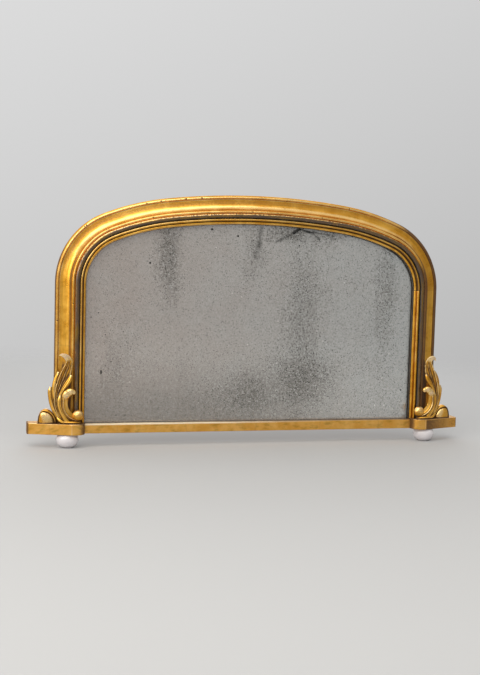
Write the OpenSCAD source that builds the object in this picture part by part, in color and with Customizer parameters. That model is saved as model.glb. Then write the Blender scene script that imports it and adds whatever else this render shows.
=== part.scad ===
// Overmantel mirror: a gilt moulded frame with a five-centred arch, standing on a long base
// with projecting ends, two porcelain bun feet and a leaf and scroll ornament on each end.
// Sizes are in millimetres. X is the width, -Y the front and Z up from the soles of the feet.

/* [Frame] */
// Overall width across the outer beads
frame_w = 948; // [860:1:1200]
// Height of the straight stiles above the end blocks
stile_h = 320; // [240:1:480]
// Radius of the tight corners, at the outer bead
corner_r = 176; // [150:1:200]
// Angle that each tight corner turns through
corner_sweep = 67.3; // [62:0.1:71]
// Radius of the flatter shoulders, at the outer bead
shoulder_r = 583; // [480:1:640]
// Angle that each shoulder turns through
shoulder_sweep = 15.2; // [12:0.1:17]

/* [Moulding] */
// Width of the bead round the outer edge
bead_w = 9; // [7:0.5:11]
// Height of the middle of the outer bead above the wall
bead_h = 14; // [13:0.5:16]
// Width of the wide hollow
hollow_w = 27; // [22:0.5:32]
// Height of the lowest line of the hollow above the wall
hollow_h = 16; // [15:0.5:18]
// Width of the ridge bead
ridge_w = 7; // [5:0.5:9]
// Height of the middle of the ridge bead above the wall
ridge_h = 34; // [30:0.5:38]
// Width of the ebonised torus
torus_w = 11.5; // [9:0.5:13]
// Height of the middle of the torus above the wall
torus_h = 34.5; // [31:0.5:38]
// Width of the slip's outer reed
outer_reed_w = 6.5; // [5:0.5:8]
// Height of the middle of the outer reed above the wall
outer_reed_h = 33.5; // [30:0.5:36]
// Width of the slip's inner reed
inner_reed_w = 7.3; // [6:0.1:9]
// Height of the middle of the inner reed above the wall
inner_reed_h = 28.5; // [26:0.5:32]

/* [Base] */
// How far each end of the base runs past the frame
base_overhang = 61; // [50:1:80]
// Thickness of the end blocks
block_t = 25; // [24:0.5:32]
// Depth of the end blocks at their front corners
block_d = 63; // [62:1:75]
// Depth of the end blocks at their outer ends
block_end_d = 30; // [24:1:45]
// Radius of the round return between an end block and the middle rail
return_r = 21; // [12:1:22]
// Width of the flat front of an end block
block_front_w = 10; // [4:1:20]
// Thickness of the middle rail
rail_t = 22; // [21:0.5:24]
// Depth of the middle rail
rail_d = 38; // [37:1:40]
// Length of the tenons that join the rail to the blocks
tenon_l = 16; // [10:1:20]
// Thickness of the tenons, front to back
tenon_t = 8; // [6:1:10]

/* [Feet] */
// Height of the bun feet
foot_h = 31; // [26:1:40]
// Widest radius of the bun feet
foot_r = 26; // [23:0.5:27]
// Distance of each foot's axis from its block's inner face
foot_inset = 38.5; // [36:0.5:50]
// Distance of each foot's axis from the wall
foot_d = 34.5; // [34:0.5:36]
// Radius of the foot screws
foot_screw_r = 2.5; // [2:0.1:3]

/* [Glazing] */
// Thickness of the glass plate
glass_t = 3.5; // [3:0.1:5]
// Height of the slip's back, and so of the front of the glass, above the wall
glass_front_h = 21.5; // [20.5:0.5:23]
// How far the slip's back overlaps the wood of the moulding
slip_seat_w = 5.5; // [4:0.5:7]
// Width of the ledge that the backboards are nailed to
ledge_w = 12; // [10:0.5:14]
// Thickness of the backboards
board_t = 8; // [6:0.5:9]
// Length of each glazing block
wedge_l = 36; // [20:1:50]

/* [Fixings] */
// Radius of the joint dowels
dowel_r = 3; // [2:0.25:3.5]
// Length of the joint dowels
dowel_l = 30; // [20:1:40]
// Radius of the screws that hold the stiles to the base
stile_screw_r = 2; // [1.5:0.1:2.2]
// How far those screws reach into the stiles
stile_screw_bite = 28; // [20:1:40]
// Radius of the backboard nails
nail_r = 1; // [0.8:0.1:1.2]
// Length of the backboard nails
nail_l = 18; // [16:0.5:19]

/* [Hangers] */
// Distance of the hangers' pivots below the start of the arch
hanger_drop = 16; // [10:1:60]
// Distance of the hangers from the frame's outer edge
hanger_in = 24; // [18:0.5:28]
// Width of the hanger straps
strap_w = 14; // [11:0.5:15]
// Thickness of the hanger straps
strap_t = 1.5; // [1:0.1:2]
// Length of the hanger straps below the pivot
strap_l = 62; // [58:1:75]
// Radius of the wire of the D-rings
wire_r = 1.5; // [1.25:0.05:1.75]
// Width of the D-rings between the middles of their legs
ring_w = 22; // [22:0.5:26]
// Reach of the D-rings from pivot to bow, at the middle of the wire
ring_reach = 23; // [20:0.5:26]
// Distance of the pivots behind the back of the frame
pivot_out = 4; // [3.9:0.1:5]
// Radius of the hanger screws
strap_screw_r = 1.7; // [1.5:0.05:1.8]
// Length of the hanger screws under the head
strap_screw_l = 14; // [10:0.5:14]

/* [Ornament] */
// Height of each leaf above its end block
leaf_h = 158; // [130:1:190]
// Distance of each leaf's middle inside the frame's outer edge
leaf_in = 14; // [13:0.5:15]
// Height of each C-scroll above its end block
scroll_h = 83; // [76:1:88]
// Radius of the ball volute
ball_r = 13; // [11:0.5:13]
// Height of the low mound above its end block
mound_h = 33; // [26:1:38]
// Width of the low mound at its foot
mound_w = 43; // [36:1:44]

/* [Hidden] */
$fn = 96;

gilt = "goldenrod";
worn_gilt = "darkgoldenrod";
pine = "burlywood";
steel = "gray";
brass_yellow = "khaki";

// clearances
fit = 0.05;        // pins and screws in their holes
running = 0.08;    // the ring's bar in the strap's eye
joint_gap = 0.15;  // tenons in their mortises
slip_gap = 0.2;    // slip against the torus
edge_gap = 0.6;    // glass and boards inside their rebates
carve_gap = 0.8;   // between one carving and the next, and from carvings to the frame
silver_t = 0.2;
bore_end = 0.5;    // how much deeper a blind hole is than what goes into it

// plan and section places, measured across from the frame's outer edge
half_w = frame_w / 2;
ridge_in = bead_w + hollow_w;
torus_in = ridge_in + ridge_w;
torus_out = torus_in + torus_w;
glass_in = torus_out + slip_seat_w;
board_in = glass_in - ledge_w;
slip_lip = 0.5;
mould_w = torus_out + slip_gap + outer_reed_w + inner_reed_w + slip_lip;
frame_front = max(torus_h + torus_w / 2, ridge_h + ridge_w / 2, outer_reed_h + outer_reed_w / 2);

// heights
block_top = foot_h + block_t;
spring_z = block_top + stile_h;
ledge_z = foot_h + 13;

// the five-centred arch: centres are [x, z], each arc starts where the last one ends
corner_c = [half_w - corner_r, spring_z];
shoulder_end = corner_sweep + shoulder_sweep;
shoulder_c = corner_c + (corner_r - shoulder_r) * [cos(corner_sweep), sin(corner_sweep)];
crown_r = shoulder_r + shoulder_c.x / cos(shoulder_end);
crown_c = [0, shoulder_c.y + (shoulder_r - crown_r) * sin(shoulder_end)];
crown_top = crown_c.y + crown_r;

// end blocks
block_in = half_w - mould_w;
block_out = half_w + base_overhang;
block_corner = block_in + return_r + block_front_w;
foot_x = block_in + foot_inset;

// hangers
eye_r = wire_r + running + strap_t;
hanger_x = half_w - hanger_in;
hanger_z = spring_z - hanger_drop;
strap_holes = [36, 52];
ring_bend_r = 3;

// the origin is under the middle of the whole box, front to back
wall_y = (block_d - pivot_out - eye_r) / 2;

function arc(c, r, from, to, n) =
    [for (i = [0:n]) let (a = from + (to - from) * i / n) c + r * [cos(a), sin(a)]];

function oval(c, rx, ry, from, to, n) =
    [for (i = [0:n]) let (a = from + (to - from) * i / n) c + [rx * cos(a), ry * sin(a)]];

function tail(list) = [for (i = [1:len(list) - 1]) list[i]];

// section points are [distance in from the outer edge, height above the wall]
moulding_section = concat(
    [[0, 0]],
    arc([bead_w / 2, bead_h], bead_w / 2, 180, 0, 8),
    oval([bead_w, ridge_h], hollow_w, ridge_h - hollow_h, -90, 0, 10),
    tail(arc([ridge_in + ridge_w / 2, ridge_h], ridge_w / 2, 180, 0, 8)),
    arc([torus_in + torus_w / 2, torus_h], torus_w / 2, 180, 0, 10),
    [[torus_out, glass_front_h], [glass_in, glass_front_h], [glass_in, board_t],
     [board_in, board_t], [board_in, 0]]
);

slip_in = torus_out + slip_gap;
inner_reed_in = slip_in + outer_reed_w;
slip_section = concat(
    [[slip_in, glass_front_h]],
    arc([slip_in + outer_reed_w / 2, outer_reed_h], outer_reed_w / 2, 180, 0, 8),
    arc([inner_reed_in + inner_reed_w / 2, inner_reed_h], inner_reed_w / 2, 180, 0, 8),
    [[mould_w, inner_reed_h], [mould_w, glass_front_h]]
);

// the arch's outline, drawn inside the outer edge by inset, closed along a level bottom
function arch_outline(inset, bottom, n = 24) = concat(
    [[half_w - inset, bottom]],
    arc(corner_c, corner_r - inset, 0, corner_sweep, n),
    tail(arc(shoulder_c, shoulder_r - inset, corner_sweep, shoulder_end, n)),
    tail(arc(crown_c, crown_r - inset, shoulder_end, 180 - shoulder_end, n)),
    tail(arc([-shoulder_c.x, shoulder_c.y], shoulder_r - inset, 180 - shoulder_end, 180 - corner_sweep, n)),
    tail(arc([-corner_c.x, corner_c.y], corner_r - inset, 180 - corner_sweep, 180, n)),
    [[inset - half_w, bottom]]
);

// puts what is drawn against a wall at y = 0 into the part's own place
module on_wall() translate([0, wall_y, 0]) children();

module mirrored() mirror([1, 0, 0]) children();

module both_sides() {
    children();
    mirrored() children();
}

// turns a [radius, height] shape along one arc of the arch
module bend(c, from, sweep)
    translate([c.x, 0, c.y]) rotate([90, 0, 0]) rotate([0, 0, from]) rotate_extrude(angle = sweep) children();

module section_at(r, section) polygon([for (p = section) [r - p.x, p.y]]);

module run_up(section, from, height)
    translate([0, 0, from]) linear_extrude(height) polygon([for (p = section) [half_w - p.x, -p.y]]);

// a plate of the arch's outline between two heights above the wall
module arch_plate(inset, bottom, low, high)
    translate([0, -low, 0]) rotate([90, 0, 0]) linear_extrude(high - low) polygon(arch_outline(inset, bottom));

// moves to a place on an arc, with x pointing outwards and z along the arc
module on_arc(c, r, angle, height)
    translate([c.x + r * cos(angle), -height, c.y + r * sin(angle)]) rotate([0, -angle, 0]) children();

/* joints of the arch */

dowel_h = 8.5;
dowel_places = [bead_w + 5, ridge_in];
joint_arcs = [[corner_c, corner_r, 0], [corner_c, corner_r, corner_sweep], [shoulder_c, shoulder_r, shoulder_end]];

module joint_pins(r, l) both_sides() for (j = joint_arcs, p = dowel_places)
    on_arc(j[0], j[1] - p, j[2], dowel_h) cylinder(r = r, h = l, center = true);

module joint_holes() joint_pins(dowel_r + fit, dowel_l + 2 * bore_end);

/* screws up into the stiles */

stile_screw_d = 8.5;
stile_screw_places = [half_w - bead_w - 7, half_w - torus_in - 1];
countersink_h = 2.5;
countersink_r = 4.2;

module at_stile_screws() for (x = stile_screw_places) translate([x, -stile_screw_d, foot_h]) children();

module stile_screw_shape(gap, extra) {
    cylinder(r = stile_screw_r + gap, h = block_t + stile_screw_bite + extra);
    cylinder(r1 = countersink_r + gap, r2 = stile_screw_r + gap, h = countersink_h);
}

/* backboards and their nails */

board_top = crown_top - board_in - edge_gap;
board_h = (board_top - ledge_z) / 3;
board_seam = 0.6;
nail_edge = 25;
nail_in = (glass_in + board_in) / 2;
nail_levels = [for (i = [0, 1], z = [nail_edge, board_h - nail_edge]) ledge_z + i * board_h + z];
nail_arcs = [
    [corner_c, corner_r, corner_sweep * 0.4], [corner_c, corner_r, corner_sweep * 0.8],
    [shoulder_c, shoulder_r, (corner_sweep + shoulder_end) / 2],
    [crown_c, crown_r, (shoulder_end + 90) / 2], [crown_c, crown_r, 89]
];

module at_nails() both_sides() {
    for (z = nail_levels) translate([half_w - nail_in, 0, z]) rotate([90, 0, 0]) children();
    for (a = nail_arcs) on_arc(a[0], a[1] - nail_in, a[2], 0) rotate([90, 0, 0]) children();
}

module nail_holes() at_nails() cylinder(r = nail_r + fit, h = nail_l + bore_end);

/* hangers */

module at_hanger() translate([hanger_x, pivot_out, hanger_z]) children();

module at_strap_screws() translate([hanger_x, 0, hanger_z]) for (z = strap_holes) translate([0, 0, -z])
    rotate([90, 0, 0]) children();

strap_screw_bite = strap_screw_l - strap_t;

module strap_pilots() at_strap_screws() cylinder(r = strap_screw_r + fit, h = strap_screw_bite + bore_end);

/* frame mouldings */

module stile() color(gilt) difference() {
    run_up(moulding_section, block_top, stile_h);
    joint_holes();
    nail_holes();
    strap_pilots();
    at_stile_screws() stile_screw_shape(fit, bore_end);
}

module corner() color(gilt) difference() {
    bend(corner_c, 0, corner_sweep) section_at(corner_r, moulding_section);
    joint_holes();
    nail_holes();
}

module shoulder() color(gilt) difference() {
    bend(shoulder_c, corner_sweep, shoulder_sweep) section_at(shoulder_r, moulding_section);
    joint_holes();
    nail_holes();
}

module crown() color(gilt) on_wall() difference() {
    bend(crown_c, shoulder_end, 180 - 2 * shoulder_end) section_at(crown_r, moulding_section);
    joint_holes();
    nail_holes();
}

module joint_dowels() color(pine) on_wall() joint_pins(dowel_r, dowel_l);

/* slips */

module slip() color(worn_gilt) run_up(slip_section, block_top, stile_h);

module slip_corner() color(worn_gilt)
    bend(corner_c, 0, corner_sweep) section_at(corner_r, slip_section);

module slip_shoulder() color(worn_gilt)
    bend(shoulder_c, corner_sweep, shoulder_sweep) section_at(shoulder_r, slip_section);

module slip_crown() color(worn_gilt) on_wall()
    bend(crown_c, shoulder_end, 180 - 2 * shoulder_end) section_at(crown_r, slip_section);

/* base */

tenon_z = foot_h + 5;
tenon_h = 12;
tenon_front = rail_d - 4;

// the room for the plate and the boards, behind the lip of the rail and of the blocks
module glazing_room() {
    translate([glass_in - half_w, -glass_front_h, ledge_z])
        cube([frame_w - 2 * glass_in, glass_front_h + 1, block_t]);
    translate([board_in - half_w, -board_t, ledge_z]) cube([frame_w - 2 * board_in, board_t + 1, block_t]);
}

module tenon(gap) translate([block_in - 1, -tenon_front - gap, tenon_z - gap])
    cube([tenon_l + 1 + gap, tenon_t + 2 * gap, tenon_h + 2 * gap]);

module base_rail() color(gilt) on_wall() {
    difference() {
        translate([-block_in, -rail_d, foot_h]) cube([2 * block_in, rail_d, rail_t]);
        glazing_room();
    }
    both_sides() tenon(0);
}

// plan of the right end block, from the wall round its front
block_plan = concat(
    [[block_in, 0]],
    arc([block_in + return_r, return_r - block_d], return_r, 180, 270, 10),
    [[block_corner, -block_d], [block_out, -block_end_d], [block_out, 0]]
);

foot_recess_h = 9;
foot_recess_r = 7;
foot_screw_bite = 17;

module base_block() color(gilt) difference() {
    translate([0, 0, foot_h]) linear_extrude(block_t) polygon(block_plan);
    glazing_room();
    tenon(joint_gap);
    at_stile_screws() stile_screw_shape(fit, 0);
    translate([foot_x, -foot_d, foot_h - 1]) cylinder(r = foot_screw_r + fit, h = foot_screw_bite + 1 + bore_end);
}

module stile_screws() color(steel) on_wall() both_sides() at_stile_screws() stile_screw_shape(0, 0);

/* feet */

foot_waist_z = 0.61 * foot_h;
foot_core_r = 10;
foot_sole_angle = -75;
foot_seat_angle = 30;

foot_profile = concat(
    [[0, 0]],
    oval([foot_core_r, foot_waist_z], foot_r - foot_core_r, foot_waist_z / -sin(foot_sole_angle),
         foot_sole_angle, 0, 10),
    tail(oval([foot_core_r, foot_waist_z], foot_r - foot_core_r, (foot_h - foot_waist_z) / sin(foot_seat_angle),
              0, foot_seat_angle, 6)),
    [[0, foot_h]]
);

module foot() color("white") translate([foot_x, -foot_d, 0]) difference() {
    rotate_extrude() polygon(foot_profile);
    translate([0, 0, -1]) cylinder(r = foot_recess_r, h = foot_recess_h + 1);
    cylinder(r = foot_screw_r + fit, h = foot_h + 1);
}

foot_screw_head_h = 3.5;
foot_screw_head_r = 5.5;

module foot_screws() color(steel) on_wall() both_sides() translate([foot_x, -foot_d, foot_recess_h]) {
    cylinder(r = foot_screw_r, h = foot_h - foot_recess_h + foot_screw_bite);
    translate([0, 0, -foot_screw_head_h]) cylinder(r = foot_screw_head_r, h = foot_screw_head_h);
}

/* plate, wedges and boards */

module mirror_glass() color("lightsteelblue") on_wall()
    arch_plate(glass_in + edge_gap, ledge_z, glass_front_h - glass_t, glass_front_h);

silver_back = glass_front_h - glass_t - silver_t;

module silvering() color("silver") on_wall()
    arch_plate(glass_in + edge_gap, ledge_z, silver_back, silver_back + silver_t);

wedge_w = 8;
wedge_h = silver_back - board_t - 1;
wedge_columns = [60, 180, 300];
wedge_edge = 50;
wedge_arcs = [
    [corner_c, corner_r, corner_sweep / 2], [shoulder_c, shoulder_r, (corner_sweep + shoulder_end) / 2],
    [crown_c, crown_r, (shoulder_end + 90) / 2], [crown_c, crown_r, 88.5]
];

// a straight block of triangular section, in the angle of the rebate and the plate
module wedge() linear_extrude(wedge_l, center = true) polygon([[0, 0], [-wedge_w, 0], [0, wedge_h]]);

function sagitta(r, l) = r - sqrt(r * r - l * l / 4);

module glazing_blocks() color(pine) on_wall() both_sides() {
    for (x = wedge_columns) translate([x, -silver_back, ledge_z]) rotate([0, 90, 0]) wedge();
    for (i = [0:2]) translate([half_w - glass_in, -silver_back, block_top + wedge_edge + i * (stile_h / 2 - wedge_edge)])
        wedge();
    for (a = wedge_arcs) let (r = a[1] - glass_in)
        on_arc(a[0], r - sagitta(r, wedge_l), a[2], silver_back) wedge();
}

module backboard(i) color(pine) on_wall() difference() {
    intersection() {
        arch_plate(board_in + edge_gap, ledge_z, 0, board_t);
        translate([-half_w, -board_t, ledge_z + i * board_h]) cube([frame_w, board_t, board_h - board_seam]);
    }
    nail_holes();
}

nail_head_r = 2.5;
nail_head_h = 0.8;

module backboard_nails() color(steel) on_wall() at_nails() {
    cylinder(r = nail_r, h = nail_l);
    translate([0, 0, -nail_head_h]) cylinder(r = nail_head_r, h = nail_head_h);
}

/* hangers: strap, ring and screws */

neck_h = 10;

module strap() color(brass_yellow) difference() {
    union() {
        translate([hanger_x, strap_t, hanger_z]) rotate([90, 0, 0]) linear_extrude(strap_t) {
            translate([-strap_w / 2, strap_w / 2 - strap_l]) square([strap_w, strap_l - strap_w / 2 - neck_h]);
            translate([0, strap_w / 2 - strap_l]) circle(strap_w / 2);
        }
        at_hanger() rotate([90, 0, 90]) linear_extrude(strap_w, center = true) {
            polygon([[-pivot_out, -neck_h], [strap_t - pivot_out, -neck_h], [0, -eye_r], [-eye_r, 0]]);
            circle(eye_r);
        }
    }
    at_hanger() rotate([0, 90, 0]) cylinder(r = wire_r + running, h = strap_w + 2, center = true);
    at_strap_screws() translate([0, 0, -strap_t - 1]) cylinder(r = strap_screw_r + 4 * fit, h = strap_t + 2);
}

ring_leg = ring_reach - ring_w / 2;

// a D of round wire in the X-Z plane, its straight bar on the pivot
module ring_shape() {
    rotate([0, 90, 0]) cylinder(r = wire_r, h = ring_w - 2 * ring_bend_r, center = true);
    translate([0, 0, -ring_leg]) rotate([90, 0, 0]) rotate([0, 0, 180]) rotate_extrude(angle = 180)
        translate([ring_w / 2, 0]) circle(wire_r);
    both_sides() {
        translate([ring_w / 2 - ring_bend_r, 0, -ring_bend_r]) rotate([90, 0, 0]) rotate_extrude(angle = 90)
            translate([ring_bend_r, 0]) circle(wire_r);
        translate([ring_w / 2, 0, -ring_leg]) cylinder(r = wire_r, h = ring_leg - ring_bend_r);
    }
}

module ring() color(brass_yellow) at_hanger() ring_shape();

strap_screw_head_r = 3.4;
strap_screw_head_h = 2;

module hanger_screws() color(brass_yellow) on_wall() both_sides() at_strap_screws() {
    translate([0, 0, -strap_t]) cylinder(r = strap_screw_r, h = strap_screw_l);
    translate([0, 0, -strap_t - strap_screw_head_h]) cylinder(r = strap_screw_head_r, h = strap_screw_head_h);
}

/* carved ornament: lobes swept along smooth curves */

// a smooth curve through points or numbers, t from 0 to 1
function curve_at(p, t) = let (
    last = len(p) - 1,
    s = min(max(t, 0), 1) * last,
    i = min(floor(s), last - 1),
    f = s - i,
    a = p[max(i - 1, 0)],
    b = p[i],
    c = p[i + 1],
    d = p[min(i + 2, last)]
) (2 * b + (c - a) * f + (2 * a - 5 * b + 4 * c - d) * f * f + (3 * b - a - 3 * c + d) * f * f * f) / 2;

function unit(v) = v / norm(v);

// points are [x, distance from the wall, z]; front becomes -Y
function to_part(p) = [p.x, -p.y, p.z];

// one ring of a lobe: an oval across the curve, its middle set back by dish
function lobe_ring(spine, half_ws, half_ts, dish, t, sides) = let (
    here = to_part(curve_at(spine, t)),
    along = unit(to_part(curve_at(spine, t + 0.01)) - to_part(curve_at(spine, t - 0.01))),
    across = unit(cross([0, -1, 0], along)),
    outward = cross(along, across),
    w = curve_at(half_ws, t),
    d = curve_at(half_ts, t)
) [for (k = [0:sides - 1]) let (a = 360 * k / sides)
    here + across * w * cos(a) + outward * (d * sin(a) - dish * min(w / 8, 1) * pow(sin(a), 2))];

module lobe(spine, half_ws, half_ts, dish = 0, steps = 14, sides = 10) {
    rings = [for (i = [0:steps]) lobe_ring(spine, half_ws, half_ts, dish, i / steps, sides)];
    skin = [for (i = [0:steps - 1], k = [0:sides - 1])
        let (a = i * sides + k, b = i * sides + (k + 1) % sides)
        each [[a, a + sides, b], [b, a + sides, b + sides]]];
    foot_cap = [for (k = [1:sides - 2]) [0, k, k + 1]];
    top = steps * sides;
    tip_cap = [for (k = [1:sides - 2]) [top, top + k + 1, top + k]];
    polyhedron([for (r = rings) each r], concat(skin, foot_cap, tip_cap));
}

// what stands on an end block is cut level with its top
module on_block() difference() {
    union() children();
    translate([block_in - 20, -2 * block_d, block_top - 30]) cube([200, 2 * block_d, 30]);
}

leaf_x = half_w - leaf_in;
leaf_t = 4;
leaf_dish = 3;
leaf_d = frame_front + leaf_t + leaf_dish - 4;

// places on the leaf: [across from its middle, forward of its middle, share of its height]
function leaf_points(p) = [for (q = p) [leaf_x + q.x, leaf_d + q.y, block_top + leaf_h * q.z]];

module leaf() color(gilt) on_block() {
    lobe(leaf_points([
        [-4, 0, -0.06], [2, 0, 0.1], [8, 0, 0.22], [10, 0, 0.33], [5, 0, 0.46], [-2, 0, 0.6],
        [-9, 0, 0.74], [-14, 3, 0.86], [-12, 9, 0.94], [-5, 13, 0.98], [3, 9, 0.965]
    ]), [6, 5, 5, 7, 11, 13, 12, 9, 7, 5, 1.2], [4, 4, 4, 4, 4, 4, 4, 4, 3.5, 3, 1], leaf_dish, 24, 12);
    lobe(leaf_points([[1, -1, 0.04], [9, -4, 0.18], [20, -8, 0.31], [24.5, -9, 0.43], [26, -9, 0.53]]),
         [4, 4.5, 5, 4.5, 1.2], [3, 3.5, 3.5, 3, 1]);
    lobe(leaf_points([[9, -2, 0.32], [14, -4, 0.43], [15.5, -5, 0.55], [12.5, -5, 0.66], [7, -4, 0.755]]),
         [4, 5, 5, 4.5, 1.2], [3, 3.5, 3.5, 3.5, 1]);
    lobe(leaf_points([[4, -1, 0.4], [-6, 1, 0.51], [-13, 2, 0.6], [-18, 3, 0.67], [-21, 3, 0.73]]),
         [3.5, 4, 4.5, 4.5, 3], [3, 3.5, 3.5, 3, 2]);
}

ball_half_d = 10.3;
ball_x = block_in + ball_r + 4;
ball_z = block_top + ball_r + 6;
ball_d = frame_front + ball_half_d + carve_gap;
scroll_d = leaf_d + leaf_t + carve_gap + 5.5;

// places on the scroll: [across from the ball, forward of the scroll's middle, share of its height]
function scroll_points(p) = [for (q = p) [ball_x + q.x, scroll_d + q.y, block_top + scroll_h * q.z]];

module ball() translate([ball_x, -ball_d, ball_z]) rotate([90, 0, 0])
    rotate_extrude() polygon(concat(oval([0, 0], ball_r, ball_half_d, -90, 90, 16), [[0, ball_half_d]]));

module scroll() color(gilt) {
    on_block() {
        lobe(scroll_points([
            [-3, -1, 0.15], [8, -1, 0.13], [19, 0, 0.2], [27, 0, 0.33], [30, 0, 0.49], [29, 0, 0.65],
            [27, 0.5, 0.8], [20, 1, 0.905], [11, 1, 0.89]
        ]), [4, 5, 6, 6.5, 6, 6.5, 8, 7, 3], [4, 5, 5.5, 5.5, 5, 5, 5.5, 5, 3], 0, 24, 12);
        lobe(scroll_points([
            [27, 0, -0.06], [32, 0, 0.24], [38, 0, 0.4], [41, 0, 0.56], [40, 0, 0.7], [38, 0, 0.82]
        ]), [6, 5.5, 4.5, 4.5, 4, 1.2], [4.5, 4.5, 4, 4, 3.5, 1]);
        lobe(scroll_points([[34, -2, 0.02], [20, -2, 0.03], [6, -2, 0.04], [-7, -2, 0.02]]),
             [3, 6, 6.5, 2], [3.5, 4.5, 5, 2]);
    }
    ball();
}

mound_x = half_w + mound_w / 2 - carve_gap - 4.5;
mound_half_d = 11.5;
mound_d = bead_h + bead_w / 2 + mound_half_d + carve_gap;

// places on the mound: [across from its middle, share of its height]
function mound_points(p) = [for (q = p) [mound_x + q.x, mound_d, block_top + mound_h * q.y]];

module mound() color(gilt) on_block() lobe(
    mound_points([[0, -0.2], [0, 0.1], [0.5, 0.35], [1.5, 0.6], [2.5, 0.82], [3.5, 0.95], [4, 1]]),
    mound_w / 2 * [1, 1, 0.94, 0.78, 0.53, 0.27, 0.05], mound_half_d * [1, 1, 0.94, 0.78, 0.55, 0.3, 0.08], 0, 12, 20);

on_wall() mirrored() stile();  // stile_left
on_wall() stile();  // stile_right
on_wall() mirrored() corner();  // corner_left
on_wall() corner();  // corner_right
on_wall() mirrored() shoulder();  // shoulder_left
on_wall() shoulder();  // shoulder_right
crown();
on_wall() mirrored() slip();  // slip_left
on_wall() slip();  // slip_right
on_wall() mirrored() slip_corner();  // slip_corner_left
on_wall() slip_corner();  // slip_corner_right
on_wall() mirrored() slip_shoulder();  // slip_shoulder_left
on_wall() slip_shoulder();  // slip_shoulder_right
slip_crown();
base_rail();
on_wall() mirrored() base_block();  // base_block_left
on_wall() base_block();  // base_block_right
mirror_glass();
silvering();
glazing_blocks();
backboard(0);  // backboard_bottom
backboard(1);  // backboard_middle
backboard(2);  // backboard_top
backboard_nails();
joint_dowels();
stile_screws();
on_wall() mirrored() foot();  // foot_left
on_wall() foot();  // foot_right
foot_screws();
on_wall() mirrored() leaf();  // leaf_left
on_wall() leaf();  // leaf_right
on_wall() mirrored() scroll();  // scroll_left
on_wall() scroll();  // scroll_right
on_wall() mirrored() mound();  // mound_left
on_wall() mound();  // mound_right
on_wall() mirrored() strap();  // hanger_strap_left
on_wall() strap();  // hanger_strap_right
on_wall() mirrored() ring();  // hanger_ring_left
on_wall() ring();  // hanger_ring_right
hanger_screws();
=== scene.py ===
import math

import bmesh
import bpy
import numpy as np
from mathutils import Matrix


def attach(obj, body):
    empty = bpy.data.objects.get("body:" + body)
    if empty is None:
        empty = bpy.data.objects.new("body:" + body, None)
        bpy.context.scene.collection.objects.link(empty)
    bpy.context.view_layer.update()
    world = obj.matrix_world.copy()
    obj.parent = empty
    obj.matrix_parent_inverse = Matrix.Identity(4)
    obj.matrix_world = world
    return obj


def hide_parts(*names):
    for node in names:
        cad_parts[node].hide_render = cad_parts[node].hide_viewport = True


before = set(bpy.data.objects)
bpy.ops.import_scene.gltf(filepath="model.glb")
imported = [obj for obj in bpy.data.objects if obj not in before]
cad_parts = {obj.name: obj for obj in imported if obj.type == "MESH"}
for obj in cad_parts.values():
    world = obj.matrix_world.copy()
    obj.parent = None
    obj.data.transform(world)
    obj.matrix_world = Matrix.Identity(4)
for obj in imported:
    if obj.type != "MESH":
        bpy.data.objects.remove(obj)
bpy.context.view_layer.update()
print("frame loaded")


class Wire:
    # a socket that arithmetic works on: every operation adds one Math node
    def __init__(self, paint, socket):
        self.paint, self.socket = paint, socket

    def __add__(self, other):
        return self.paint.math("ADD", self, other)

    def __sub__(self, other):
        return self.paint.math("SUBTRACT", self, other)

    def __rsub__(self, other):
        return self.paint.math("SUBTRACT", other, self)

    def __mul__(self, other):
        return self.paint.math("MULTIPLY", self, other)

    def __truediv__(self, other):
        return self.paint.math("DIVIDE", self, other)

    def __pow__(self, other):
        return self.paint.math("POWER", self, other)

    __radd__, __rmul__ = __add__, __mul__

    def most(self, other):
        return self.paint.math("MAXIMUM", self, other)

    def rise(self, low, high):
        # 0 below low, 1 above high, an S-curve between
        return self.paint.add("ShaderNodeMapRange", {"interpolation_type": "SMOOTHSTEP"},
                              {"Value": self, "From Min": low, "From Max": high})

    def clip(self):
        return self.paint.add("ShaderNodeClamp", {}, {"Value": self})


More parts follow.
